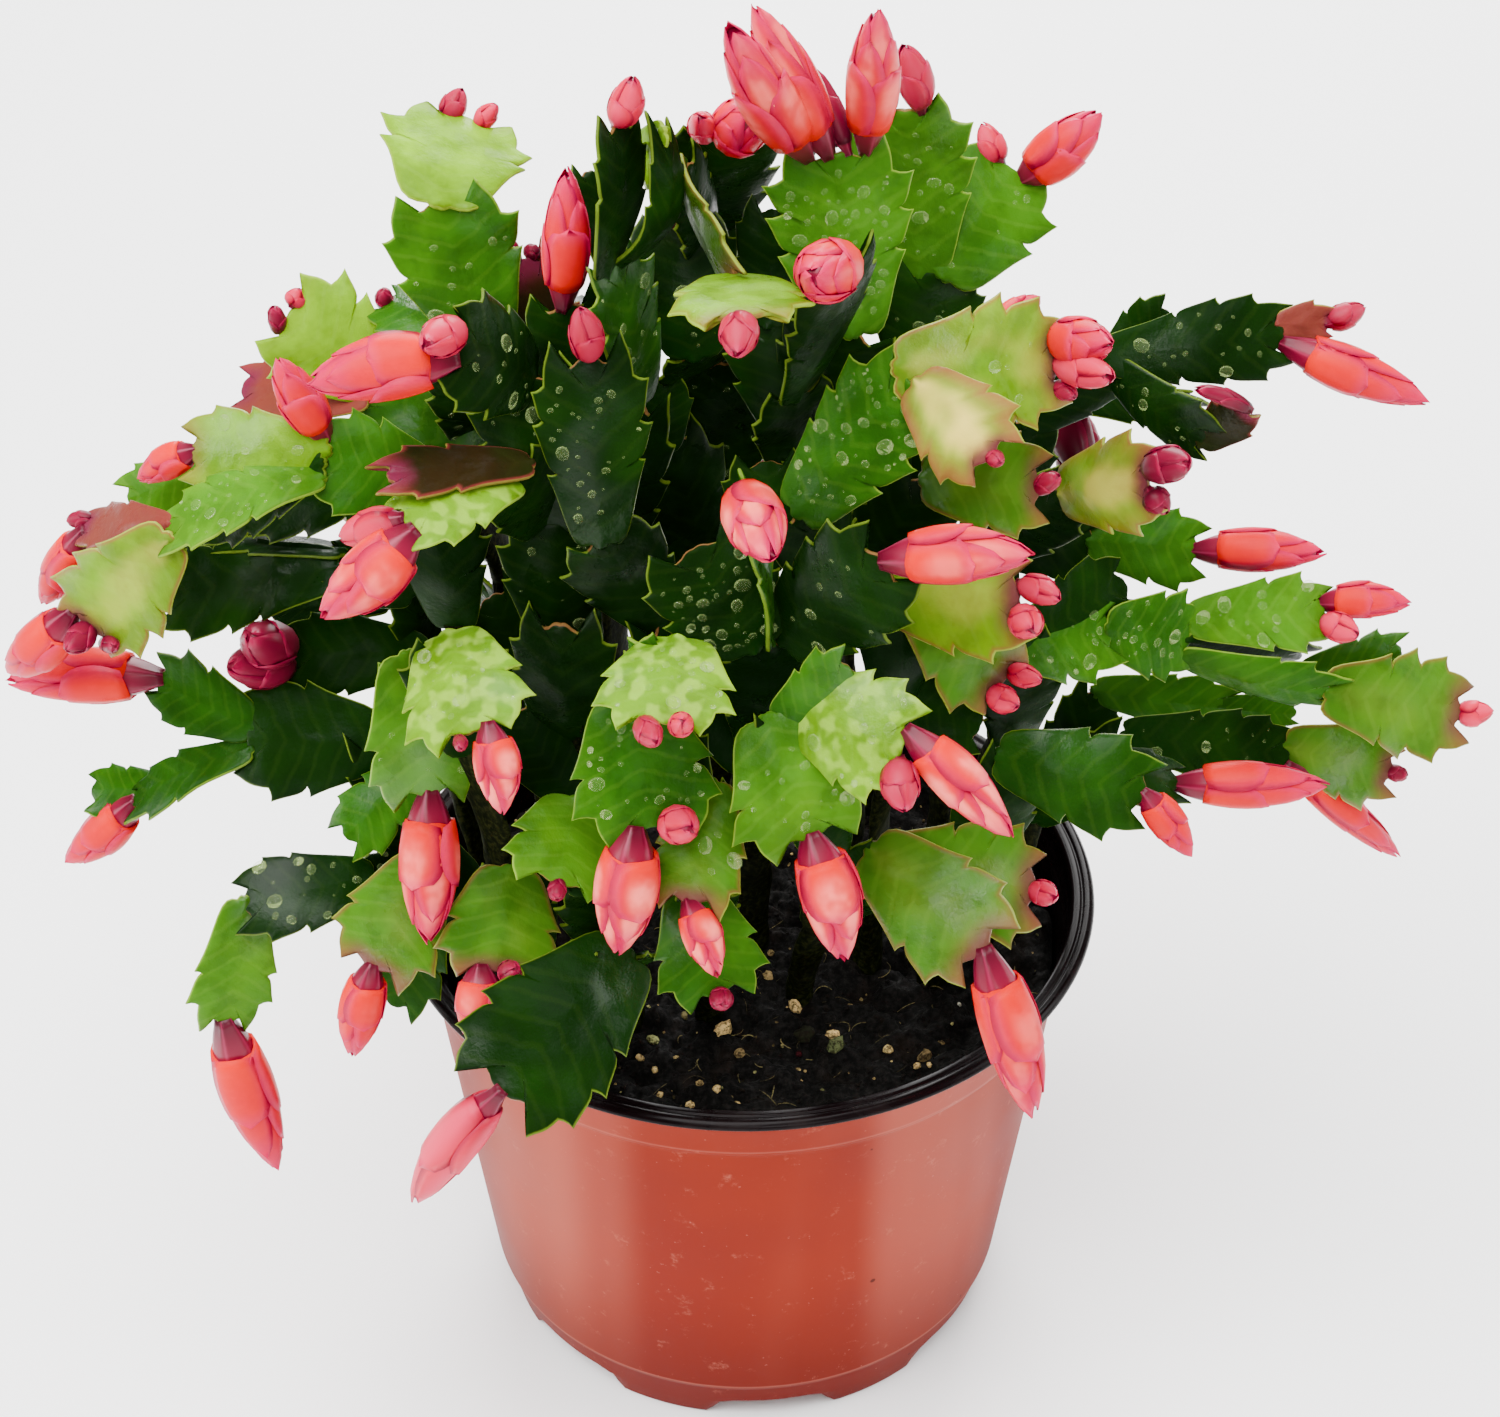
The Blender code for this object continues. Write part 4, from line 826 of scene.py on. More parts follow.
# %% Bud surface
BUD_KINDS = {
    # tube: where the tube ends, as a share of the bud's length. layers: where a layer's petals start and
    # end, how many, their overlap, how far they stand out, how blunt. body: share of length, of half width
    "flower": {"tube": 0.22, "layers": [(0.195, 0.63, 3, 1.16, 0.80, 4.5), (0.20, 0.84, 4, 1.20, 0.40, 3.5),
                                        (0.21, 1.00, 3, 1.30, 0.0, 9.0)],
               "body": [(0.0, 0.36), (0.04, 0.44), (0.10, 0.60), (0.17, 0.76), (0.23, 0.86), (0.30, 0.93),
                        (0.38, 0.99), (0.46, 1.0), (0.58, 0.95), (0.72, 0.79), (0.86, 0.52), (0.95, 0.27),
                        (1.0, 0.03)]},
    "young": {"tube": 0.20, "layers": [(0.13, 0.66, 3, 1.22, 0.45, 3.5), (0.17, 1.00, 3, 1.32, 0.0, 9.0)],
              "body": [(0.0, 0.36), (0.06, 0.40), (0.14, 0.62), (0.26, 0.90), (0.42, 1.0), (0.60, 0.95),
                       (0.78, 0.72), (0.92, 0.40), (1.0, 0.05)]},
    "knob": {"tube": 0.15, "layers": [(0.05, 0.60, 3, 1.2, 0.40, 2.5), (0.10, 1.00, 3, 1.30, 0.0, 9.0)],
             "body": [(0.0, 0.55), (0.2, 0.85), (0.5, 1.0), (0.8, 0.8), (0.95, 0.4), (1.0, 0.08)]},
}
BUD_KINDS["dusky"] = BUD_KINDS["young"]
RIPENESS = {"young": 0.56, "dusky": 0.02, "knob": 0.2}  # how far such a bud has turned from dark to rosy
PETAL_ALONG, PETAL_ACROSS, TUBE_SIDES = 9, 6, 20
BUD_NECK = 1.5  # how far a bud starts inside the tip that bears it, in mm
FULL_WIDTH = 13.0  # the width of a full-grown bud, in mm, by which its petals' steps are scaled


def ripeness_and_painted_light(kind, tip, rng):
    """How bright a bud's petals are. Another kind of bud's is how far it has turned from dark to rosy. A
    flower's is painted light: it grows over 35 mm toward the front and over 30 mm of height, and once more at
    the very top, where the light is."""
    spread = rng.uniform(-0.15, 0.2)
    if kind != "flower":
        return RIPENESS[kind] + spread
    forward = np.clip((-tip[1] - 40.0) / 35.0, 0.0, 1.0)
    raised = np.clip((tip[2] - 105.0) / 30.0, 0.0, 1.0)
    highest = np.clip((tip[2] - 302.0) / 12.0, 0.0, 1.0)
    return 0.10 + 0.88 * forward * raised + 0.6 * highest + rng.uniform(-0.1, 0.15)


def petal_half_angle(b, half_angle, blunt):
    """Half width of a petal, as an angle: it swells from 0.86 at its base, then rounds over to its tip by
    the root of 1 - b^blunt, where b is the way along it."""
    swell = 0.86 + 0.14 * np.sin(np.clip(b / 0.4, 0, 1) * math.pi / 2)
    return half_angle * swell * np.sqrt(np.clip(1 - b ** blunt, 0, 1))


# %% One bud
def capped(rings):
    """Rings of points with each end closed: one more ring there, drawn together at that ring's mean."""
    ends = [np.repeat(rings[[i]].mean(1, keepdims=True), rings.shape[1], 1) for i in (0, -1)]
    return np.concatenate([ends[0], rings, ends[1]])


def bud_parts(base, tip, width, kind, rng):
    """The crimson tube, and the petals as thin closed shells laid in layers on the bud's body."""
    along = unit(tip - base)
    start = base - along * BUD_NECK
    length = np.linalg.norm(tip - start)
    across = unit(np.cross(along, VIEW_BACK + 0.01))
    other = np.cross(along, across)
    profile = np.array(BUD_KINDS[kind]["body"])
    bend = rng.uniform(-0.035, 0.035, 2) * length
    size = width / FULL_WIDTH
    radius_at = lambda share: np.interp(share, profile[:, 0], profile[:, 1]) * width / 2.0

    def body(share, angle, lift):
        """The bud's body: its radius at this share of its length, on an axis that bends a little."""
        radius = radius_at(share) + lift
        arch = np.sin(math.pi * np.clip(share, 0, 1))[..., None]
        return (start + along * (share * length)[..., None] + across * (radius * np.cos(angle))[..., None]
                + other * (radius * np.sin(angle))[..., None] + arch * (across * bend[0] + other * bend[1]))

    angle = np.arange(TUBE_SIDES) * 2 * math.pi / TUBE_SIDES
    tube_end = BUD_KINDS[kind]["tube"]
    share = np.concatenate([np.linspace(0.0, tube_end, 6), [0.4, 0.6, 0.8, 0.92]])
    ridge = np.clip(1 - share / (tube_end * 1.3), 0, 1)[:, None] * np.ones(TUBE_SIDES)
    rib = 0.13 * np.cos(5 * angle)[None, :] * ridge
    grid_share = np.broadcast_to(share[:, None], (len(share), TUBE_SIDES))
    ring = capped(body(grid_share, np.broadcast_to(angle, grid_share.shape),
                       radius_at(grid_share) * rib - 0.3 * size))
    tube_colour = np.zeros(ring.shape[:2] + (4,))
    tube_colour[..., 0] = np.concatenate([[0], share, [1]])[:, None] / tube_end
    tube_colour[..., 1] = 0.5 + 0.5 * np.cos(5 * angle)
    tube = (ring.reshape(-1, 3), grid_faces(len(ring), TUBE_SIDES, round_columns=True),
            {"petal": tube_colour.reshape(-1, 4)})
    petals = []
    turn = rng.uniform(0, 6.28)
    # A flower's value is painted light, brighter toward the front and top
    ripeness_and_light = ripeness_and_painted_light(kind, tip, rng)
    for number, (low, high, count, overlap, out, blunt) in enumerate(BUD_KINDS[kind]["layers"]):
        b = np.linspace(0.0, 1.0, PETAL_ALONG)[:, None] ** 0.9
        a = np.linspace(-1.0, 1.0, PETAL_ACROSS)[None, :]
        for k in range(count):
            top = high + (rng.uniform(-0.04, 0.04) if high < 1.0 else -0.02 * k)
            share = low + (top - low) * b + 0.035 * a ** 2 * (1 - b)
            middle = turn + number * 0.7 + (k + rng.uniform(-0.08, 0.08)) * 2 * math.pi / count
            half = petal_half_angle(b, overlap * math.pi / count, blunt)
            lift = (0.15 + out * (0.6 + 0.4 * b) + 0.15 * a + 0.10 * (1 - a ** 2)) * size
            outer = body(share, middle + a * half, lift)
            inner = body(share, middle + a * half * 0.97, lift - 0.2 * size)
            points = capped(np.concatenate([outer, inner[:, ::-1]], axis=1))
            colour = np.zeros((PETAL_ALONG + 2, 2 * PETAL_ACROSS, 4))
            colour[..., 0] = np.concatenate([share[:1, :1], share[:, :1], share[-1:, :1]])
            colour[..., 1] = np.abs(np.concatenate([a[0], a[0, ::-1]]))[None, :]
            colour[..., 2] = np.concatenate([[[0.0]], b, [[1.0]]])
            colour[..., 3] = ripeness_and_light
            petals.append((points.reshape(-1, 3), grid_faces(*colour.shape[:2], round_columns=True),
                           {"petal": colour.reshape(-1, 4)}))
    return tube, petals


# %% [markdown]
# ## Flesh, petals and water
# The skin is waxy and smooth, so its light is broad and soft. Old segments are near black green, young
# ones yellow green with light in them, and the newest turn bronze toward their tips. The wettest young
# ones have pale patches painted in, as the sheen of a thin layer of water. The margin is a thin pale line,
# and the cut tip is tan.

# %% Cactus flesh: greens
flesh = new_material("waxy_cactus_flesh")
young, along_leaf, margin = channels(flesh, "flesh")[:3]
blush, scar = channels(flesh, "marks")[:2]
cream, russet, aside = channels(flesh, "more")[:3]
blotch = noise(flesh, 120.0, 3.0, 0.6)
broad_blotch = noise(flesh, 55.0, 2.0)
# Age runs from near black green to yellow green, a little older or younger from place to place
age = node(flesh, "Math", (broad_blotch, 0.34, -0.17), operation="MULTIPLY_ADD")
age = node(flesh, "Math", (young, age), operation="ADD")
# A pale painted sheen of water lies only on the tint whose youth is 0.8, in blotches of about 3 mm
painted_water_sheen = product(flesh, (young, 0.74, 0.80), (young, 0.86, 0.92, 1.0, 0.0), (blush, 0.2, 0.3, 1.0, 0.0),
               (noise(flesh, 310.0, 0.8), 0.44, 0.62, 0.0, 0.38))
# Veins are a sine of the way along, less some of the way aside, so that they slant forward
slant = node(flesh, "Math", (aside, -9.0, 0.0), operation="MULTIPLY_ADD")
slant = node(flesh, "Math", (along_leaf, 44.0, slant), operation="MULTIPLY_ADD")
slant = node(flesh, "Math", (blotch, 5.0, slant), operation="MULTIPLY_ADD")
vein = node(flesh, "Math", (slant,), operation="SINE")
green = washed(
    flesh, "#071A04",
    ((age, 0.04, 0.44), "#1F4E06"), ((age, 0.38, 0.66), "#3E7010"),
    ((age, 0.60, 0.86), "#5E8A02"), ((age, 0.84, 1.08), "#7CAC06"),
    # Darker blotches, then painted shade toward each segment's base
    ((blotch, 0.35, 0.62, 0.32, 0.0), "#0A2206"), ((along_leaf, 0.0, 0.5, 0.42, 0.0), "#0C2A06"),
    # A painted sheen of water, and pale veins
    (painted_water_sheen, "#9CC43C"), (product(flesh, young, (vein, 0.5, 1.0, 0.0, 0.10)), "#7FA23A"))

# %% Cactus flesh: cream, russet, blush, margin and scar
creamy = product(flesh, cream, (broad_blotch, 0.3, 0.6), (margin, 0.15, 0.65, 1.0, 0.15))
rusty = product(flesh, russet, (broad_blotch, 0.35, 0.65, 0.45, 1.0))
# A blush covers the tip and the margin, and all of a fully blushed segment. Its middle is stained darker
outer = node(flesh, "Math", ((along_leaf, 0.74, 1.06), (margin, 0.80, 1.0, 0.0, 0.9)), operation="MAXIMUM")
pink = product(flesh, outer, blush)
for share in (product(flesh, cream, (margin, 0.25, 1.0, 0.0, 0.9)), (blush, 0.88, 1.0, 0.0, 0.7)):
    pink = node(flesh, "Math", (pink, share), operation="MAXIMUM")
stain = node(flesh, "Math", (blotch, 0.22, along_leaf), operation="MULTIPLY_ADD")
stain = product(flesh, (stain, 0.90, 1.06), (aside, 0.25, 0.75, 1.0, 0.0), (blush, 0.3, 0.8, 0.0, 0.8))
# The margin's pale line is clearer on young segments, and old wood is brown and rough
rim = node(flesh, "Math", (young, 0.45, 0.28), operation="MULTIPLY_ADD", use_clamp=True)
fine = noise(flesh, 900.0, 3.0, 0.6)
wood = washed(flesh, "#0A0F05", ((fine, 0.4, 0.7), "#24270F"))
wooden = (young, -0.9, -0.1, 1.0, 0.0)
skin = washed(
    flesh, green, (creamy, "#E0C45C"), (rusty, "#26130A"), ((pink, 0.0, 1.0, 0.0, 0.8), "#822C30"),
    (stain, "#5E1834"), (product(flesh, (margin, 0.955, 0.99), rim), "#88A430"),
    ((scar, 0.25, 0.8, 0.0, 0.75), "#7A4A30"), (wooden, wood))

# %% Cactus flesh: gloss and relief
# The skin is puffy between its veins, over about 10 mm, and its wax is patchy
rough = node(flesh, "Math", (wooden, 0.4, (blotch, 0.3, 0.75, 0.24, 0.38)), operation="MULTIPLY_ADD")
puff = node(flesh, "Math", (fine, 0.06, noise(flesh, 95.0, 1.0, 0.4)), operation="MULTIPLY_ADD")
puff = node(flesh, "Math", (vein, -0.003, puff), operation="MULTIPLY_ADD")
waxed = node(flesh, "Math", ((noise(flesh, 42.0, 1.0), 0.52, 0.70), 0.26, 0.03), operation="MULTIPLY_ADD")
finish(flesh, {"Base Color": skin, "Roughness": rough, "Normal": relief(flesh, puff, 0.6, 0.004),
               "Specular IOR Level": product(flesh, waxed, (young, 0.0, 0.4, 0.35, 1.0)),
               "Subsurface Weight": 0.05, "Subsurface Radius": (0.002, 0.003, 0.0008)})

# %% [markdown]
# A petal is thin and silky. It is coral, crimson at its edges and magenta toward the bud's tip. Its paler
# middle is partly its own colour and partly painted light, the glow of light passing through it, brighter on
# flowers toward the front and top. The tube and the youngest buds are thicker and darker.
# Water is clear, so a drop shows mostly by its bright points; its dome is painted a pale tint, strongest in
# the ring at its foot, as a painted highlight of the light caught in the water.

# %% Bud petals
petal = new_material("silky_bud_petal")
share, edge, reach, ripeness_and_light = channels(petal, "petal")
# Paler middle of each petal: partly its own colour, partly painted light that grows toward the front and top
middle = product(petal, (edge, 0.1, 0.8, 1.0, 0.0), (reach, 0.05, 0.55, 0.1, 1.0),
                 (noise(petal, 160.0, 2.0), 0.3, 0.6, 0.45, 1.0), ripeness_and_light)
coral = washed(
    petal, "#D41402", ((share, 0.2, 0.5), "#C60414"), ((share, 0.5, 1.0), "#BE0036"),
    ((middle, 0.05, 1.0, 0.0, 0.95), "#FF7468"), ((edge, 0.40, 0.95, 0.0, 0.8), "#B00044"),
    ((reach, 0.70, 1.0, 0.0, 0.7), "#C0004C"), ((noise(petal, 420.0), 0.4, 0.8, 0.0, 0.2), "#E80A20"))
finish(petal, {"Base Color": coral, "Roughness": 0.36, "Specular IOR Level": 0.07,
               "Subsurface Weight": 0.08, "Subsurface Radius": (0.004, 0.0012, 0.001)})

tube_skin = new_material("crimson_bud_tube")
share, ridge = channels(tube_skin, "petal")[:2]
crimson = washed(tube_skin, "#4A041A", ((share, 0.0, 1.0), "#74082A"),
                 ((ridge, 0.75, 1.0, 0.0, 0.25), "#B83C64"))
finish(tube_skin, {"Base Color": crimson, "Roughness": 0.3, "Specular IOR Level": 0.2})

young_petal = new_material("young_bud_petal")
share, edge, reach, ripeness_and_light = channels(young_petal, "petal")
dusky = washed(young_petal, "#420418", ((share, 0.1, 0.6), "#700A2A"))
# Rosy petals with a painted highlight down each petal's middle
rosy = washed(young_petal, "#8A0222", ((share, 0.05, 0.5), "#C80434"),
              ((edge, 0.0, 0.8, 0.6, 0.0), "#E4345C"))
rosy = washed(young_petal, dusky, ((ripeness_and_light, 0.25, 0.75), rosy), ((edge, 0.75, 1.0, 0.0, 0.6), "#880634"),
              ((reach, 0.84, 1.0, 0.0, 0.6), "#B00C48"))
finish(young_petal, {"Base Color": rosy, "Roughness": 0.36, "Specular IOR Level": 0.12,
                     "Subsurface Weight": 0.1, "Subsurface Radius": (0.003, 0.001, 0.001)})

# %% Water
water = new_material("clear_water")
foot = channels(water, "drop")[0]
# A pale tint, most opaque in the ring at each drop's foot: a painted highlight of the light caught in the
# water
finish(water, {"Base Color": "#B4D080", "Roughness": 0.06, "IOR": 1.33,
               "Alpha": (foot, 0.55, 1.0, 0.06, 0.26)})


# %% [markdown]
# ## Where each stem stands
# A stem's own row gives its root in the soil and its old joints, in mm: x, then how far in front of the
# pot's axis, then height for each joint. A row of nine words is a segment: its name, what it grows from,
# where its tip is seen (pixels across and down, then mm in front), its width, turn and bow, and how old it
# looks. A row of six words is a bud: what bears it, where its tip is seen, its width and its kind. A row
# of ten words is a small segment that shows only in a gap: its base and tip as seen, then the same.
# What a segment grows from is cane for the top of the old wood, or cane:1 for its joint 1, or a segment.

# %% The stems' table
STEM_ROWS = """
stem_top_right 16 -20 17 -20 134 20 -18 166 26 -15 198
low cane 800 440 0 20 25 2 old
under low 852 328 6 24 -12 2 dark
broad under 836 150 -8 26 4 -2 leafy
short low 796 392 12 18 30 0 dark
edge short 846 262 24 20 62 2 dark
inner low 768 318 -6 20 -15 1 dark
inner_top inner 776 208 -16 15 -6 1 dark
right_low cane 920 385 -20 20 -20 2 old
right_mid right_low 932 270 -26 22 8 1 dark
right_front right_mid 905 108 -30 24 -8 -2 leafy
right_back right_mid 1012 168 -42 25 6 2 leafy
broad 727 22 12 12 flower
broad 752 3 -4 11 flower
broad 878 8 2 11 flower
broad 815 68 -16 5.5 dusky
right_front 903 44 -26 7.5 young
right_front 880 62 -34 5.5 young
right_back 1102 112 -40 11.5 flower
right_back 982 122 -46 6 young
edge 812 276 46 12.5 flower
stem_top_middle -6 -30 -6 -31 132 -6 -31 165 -6 -30 198 -6 -28 230
back cane 712 222 -34 18 10 1 dark
top back 722 135 -18 23 8 1 dark
front cane 694 350 -8 18 -20 2 dark
shade front 676 222 -16 22 -6 2 dark
rise cane 700 262 -20 16 25 1 old
over rise 684 166 -6 14 50 2 dark
stick over 737 280 24 12 76 2 stalk
face stick 742 320 48 24 -4 1 sunlit
heart cane:2 725 362 -20 22 0 2 dark
heart_left cane:1 668 434 -16 19 5 1 dark
shade 668 186 -10 6.5 dusky
top 700 116 -6 6 young
top 750 118 -6 12 flower
face 737 356 58 7.5 young
stem_top_left -24 -8 -25 -8 133 -27 -6 165 -28 -3 197
low cane 637 400 8 18 -15 2 old
wet low 611 262 8 20 52 2 deep
tall wet 618 122 4 18 64 2 dark
arch wet 662 134 0 10 60 7 dark
tip arch 642 172 -8 10 30 1 light
left_low cane 586 420 3 20 10 2 old
bearer left_low 563 304 6 19 -6 1 dark
brown left_low 524 256 -8 15 22 1 russet
608 262 -6 588 170 -10 10 20 1 dark
662 445 -8 656 382 -12 14 0 1 dark
tall 634 76 6 7 young
bearer 567 166 6 10 flower
brown 511 240 -6 3.5 knob
brown 524 247 -10 3.5 knob
stem_upper_left -42 -12 -45 -12 131 -48 -10 162 -51 -6 193 -54 -1 225
low cane 470 335 6 20 15 2 dark
mid low 440 200 2 25 -5 1 mid
leaf mid 464 119 -22 27 6 2 light
side low 385 302 -8 13 30 1 mid
grey cane 372 385 -2 20 -25 2 mid
pale grey 286 314 -6 24 -18 1 light
pink grey 243 388 -16 16 20 1 mauve
leaf 463 88 -24 5.5 young
leaf 497 104 -20 4.5 young
side 384 290 -6 4 knob
pale 301 288 -8 4.5 young
pale 273 306 -4 4 knob
stem_left_upper -32 16 -34 17 131 -36 18 163 -38 19 195
low cane 555 520 20 22 10 2 dark
nested low 527 378 18 25 -8 2 dark
arch nested 455 345 32 22 8 3 dark
knee low 515 474 34 18 25 1 dark
leaf knee 405 527 50 18 34 2 lime
brown knee 386 478 42 13 40 1 russet
inner cane:1 560 622 32 20 -10 2 dark
562 700 8 488 596 4 18 0 1 dark
566 790 24 512 712 24 16 10 1 dark
arch 423 345 42 8 young
arch 306 384 40 13.5 flower
leaf 320 618 60 13 flower
leaf 338 538 46 8 young
stem_left -52 8 -55 9 130 -58 11 162 -60 14 194
low cane 430 482 18 19 -12 2 dark
joint low 320 458 20 20 8 1 mid
under joint 212 520 8 14 20 1 dark
pale joint 192 452 12 17 -6 2 sunlit
long joint 166 534 28 15 38 3 fresh
droop long 88 628 22 22 -10 2 blush
far long 86 527 12 11 25 1 mauve
420 480 4 252 517 -4 13 30 1 dark
205 470 2 128 500 4 12 10 1 fresh
joint 276 357 18 9.5 flower
pale 137 480 10 7.5 flower
far 66 520 10 4 knob
far 42 604 6 9 flower
droop 8 672 12 11 flower
droop 66 650 32 6 dusky
droop 114 646 30 4 knob
stem_left_dark -57 -7 -63 -9 130 -67 -5 162
stick cane 405 590 4 12 40 1 dark
knee stick 335 562 6 14 20 1 dark
broad knee 166 598 2 19 12 2 dark
strip knee 198 543 -8 11 66 2 dark
low cane 420 655 6 15 -15 1 dark
lower low 290 655 6 17 10 2 dark
382 606 -4 272 616 -8 10 40 1 dark
lower 250 636 26 10.5 dusky
lower 228 668 20 10.5 dusky
stem_left_lower -62 20 -66 22 131
low cane 375 740 22 16 12 2 dark
broad low 247 738 18 24 -8 2 dark
mid broad 158 678 10 16 -20 1 deep
slim broad 133 803 15 12 38 2 deep
down cane 368 880 34 14 15 1 dark
grey down 243 905 38 17 12 2 dark
hang grey 225 1022 42 17 -25 2 fresh
160 792 12 92 792 10 13 25 1 mid
mid 5 681 6 12.5 flower
slim 65 862 12 10 flower
hang 278 1170 42 13 flower
stem_left_front -42 40 -45 43 131 -50 46 160 -56 47 188
wet_low cane 450 642 52 20 10 1 dark
wet wet_low 474 734 72 24 6 2 lime
pale_low cane 408 660 42 18 -12 1 mid
pale pale_low 430 795 48 22 -10 2 fresh
left_low cane:0 425 868 46 15 10 1 dark
left left_low 372 968 56 22 4 2 rust
right_low cane:0 508 876 52 15 10 1 dark
right right_low 495 972 64 23 -10 2 rust
422 765 30 346 838 34 14 10 1 mid
432 905 40 394 1006 44 15 0 1 deep
wet 503 815 80 9.5 flower
wet 460 748 78 3 knob
pale 428 945 63 13 flower
left 352 1057 60 10 flower
right 478 1050 73 11.5 flower
right 516 968 74 5 knob
stem_centre 2 4 2 12 132 1 20 164
low cane 768 640 38 17 15 2 old
shade low 692 547 38 25 -8 2 dark
edge low 742 494 44 10 72 2 mid
broad low 887 560 54 24 6 2 dark
left_low cane 660 620 26 18 20 2 old
left_mid left_low 600 537 32 20 -10 1 dark
left left_mid 588 356 28 21 4 2 dark
775 560 24 766 460 16 17 0 1 dark
edge 770 560 70 12.5 flower
broad 1035 555 60 12 flower
left 580 308 36 7 young
stem_centre_right 27 12 28 18 132 29 25 160 31 29 186
low cane 905 592 32 16 20 1 old
upper low 1022 600 44 23 6 2 blush
lower low 1003 682 32 22 -8 2 rust
shade cane 982 726 34 18 8 1 dark
upper 1033 630 54 7 young
upper 1060 600 50 6 young
lower 1018 706 40 6 young
lower 1042 680 38 5 young
stem_right_upper 22 -2 24 3 133 23 7 166 20 15 199
low cane 802 508 30 18 15 2 dark
wet low 912 378 28 22 -8 2 mid
pale wet 1058 362 10 24 6 2 blush
bronze wet 992 458 42 19 10 2 cream
low_right cane 930 480 16 18 12 2 dark
under low_right 1040 487 16 20 -6 2 olive
pale 1112 344 20 10.5 flower
pale 1114 378 26 7.5 young
pale 1076 396 18 4 knob
bronze 1000 462 46 3.5 knob
under 1060 476 18 4.5 knob
stem_far_right 42 -14 44 -14 131 47 -16 162 51 -19 191
low cane 1030 420 -28 17 20 1 dark
knee low 1112 362 -32 15 30 1 dark
arm knee 1285 334 -36 17 8 2 dark
young arm 1330 322 -38 9 20 0 mauve
droop knee 1206 440 -20 14 46 2 dark
brown droop 1246 408 -18 11 15 0 russet
mid_low cane 1066 492 -4 17 12 2 dark
mid mid_low 1150 481 12 19 5 2 dusk
lower_knee cane 1097 543 -14 16 15 1 dark
lower lower_knee 1198 550 -12 16 -8 2 mid
1112 356 -38 1170 312 -42 12 20 1 dark
young 1366 306 -40 6 young
arm 1430 403 -26 10.5 flower
brown 1194 388 -14 4 knob
mid 1190 463 20 8 dusky
mid 1168 514 16 6 dusky
lower 1327 553 -8 10 flower
stem_right_middle 52 4 54 9 131 56 14 162
low cane 1020 642 22 17 15 2 dark
wet low 1112 630 16 19 -6 1 mid
knee wet 1190 638 8 18 10 1 mid
pale knee 1325 612 0 15 -5 2 fresh
slim knee 1332 692 8 12 46 2 mid
end slim 1460 713 0 21 5 2 olive
strip knee 1300 656 -10 10 50 1 dark
behind low 1125 582 8 16 10 1 dark
1310 670 -6 1402 650 -8 10 20 1 mid
pale 1412 603 2 8.5 flower
pale 1358 636 10 6.5 young
end 1494 711 0 6 young
stem_right_lower 60 -4 64 -4 130
low cane 1130 737 2 15 15 2 dark
dark low 1290 757 -2 16 -6 2 dark
end dark 1392 772 -2 17 10 1 rust
slim_low cane 1100 690 -10 14 12 2 dark
slim slim_low 1226 706 -14 12 20 1 mid
slim_tip slim 1296 712 -16 8 20 1 mid
end 1408 776 0 4 knob
dark 1400 857 -6 8 flower
stem_right_low_front 41 16 46 27 133
low cane 1015 757 36 17 15 2 dark
broad low 1145 795 40 20 5 2 deep
behind low 1178 783 20 12 -15 2 dark
broad 1192 857 44 8 flower
behind 1330 785 22 10.5 flower
stem_front_right 12 22 15 36 131 17 51 163
low cane 786 716 58 18 10 2 dark
right low 905 748 68 24 8 2 lime
middle low 812 838 68 26 -6 2 fresh
behind low 852 668 56 14 20 1 mid
lower_knee cane:0 885 858 54 16 15 1 dark
lower lower_knee 985 952 68 24 6 2 rust
side lower_knee 1035 890 50 23 -12 2 rust
right 1013 838 78 10.5 flower
right 905 812 80 8 young
middle 845 962 78 13 flower
lower 1033 1118 80 13 flower
side 1056 898 56 5.5 young
stem_front -8 28 -8 45 130
low cane 700 895 60 15 10 1 dark
lowest low 718 995 70 21 -8 2 mid
knee low 700 792 58 16 15 2 dark
bearer knee 690 905 74 18 10 2 rust
left_low knee 640 700 57 18 -15 1 dark
left left_low 652 828 69 27 -4 2 mid
top_low left_low 676 648 60 16 10 1 mid
top top_low 660 725 76 25 12 2 lime
bearer 718 978 84 8.5 flower
lowest 722 1004 76 5 knob
left 618 955 77 13.5 flower
left 692 828 76 8 young
top 656 744 86 5.5 young
top 682 722 84 5 young
stem_front_left -25 30 -27 43 127
low cane 622 957 68 15 10 1 dark
rim low 500 1093 90 30 6 3 dark
rise cane 590 885 58 15 15 1 dark
knee rise 576 808 52 17 20 1 dark
leaf knee 558 885 68 23 -10 2 fresh
rim 413 1203 84 10.5 young
leaf 556 900 72 4 knob
"""


def read_stems(text):
    """Each stem's root, joints, segments, gap segments and buds, told apart by how many words a row has."""
    stems = {}
    for words in map(str.split, text.strip().splitlines()):
        if words[0].startswith("stem_"):
            places = list(map(float, words[1:]))
            stem = stems[words[0]] = {"root": places[:2], "cane": np.reshape(places[2:], (-1, 3)),
                                      "blades": [], "gaps": [], "buds": []}
        elif len(words) == 9:
            place, (width, turn, bow) = tuple(map(float, words[2:5])), map(float, words[5:8])
            stem["blades"].append((words[0], words[1], place, width, turn, bow, words[8]))
        elif len(words) == 10:
            base, tip = tuple(map(float, words[:3])), tuple(map(float, words[3:6]))
            stem["gaps"].append((base, tip, *map(float, words[6:9]), words[9]))
        else:
            stem["buds"].append((words[0], tuple(map(float, words[1:4])), float(words[4]), words[5]))
    return stems


STEMS = read_stems(STEM_ROWS)
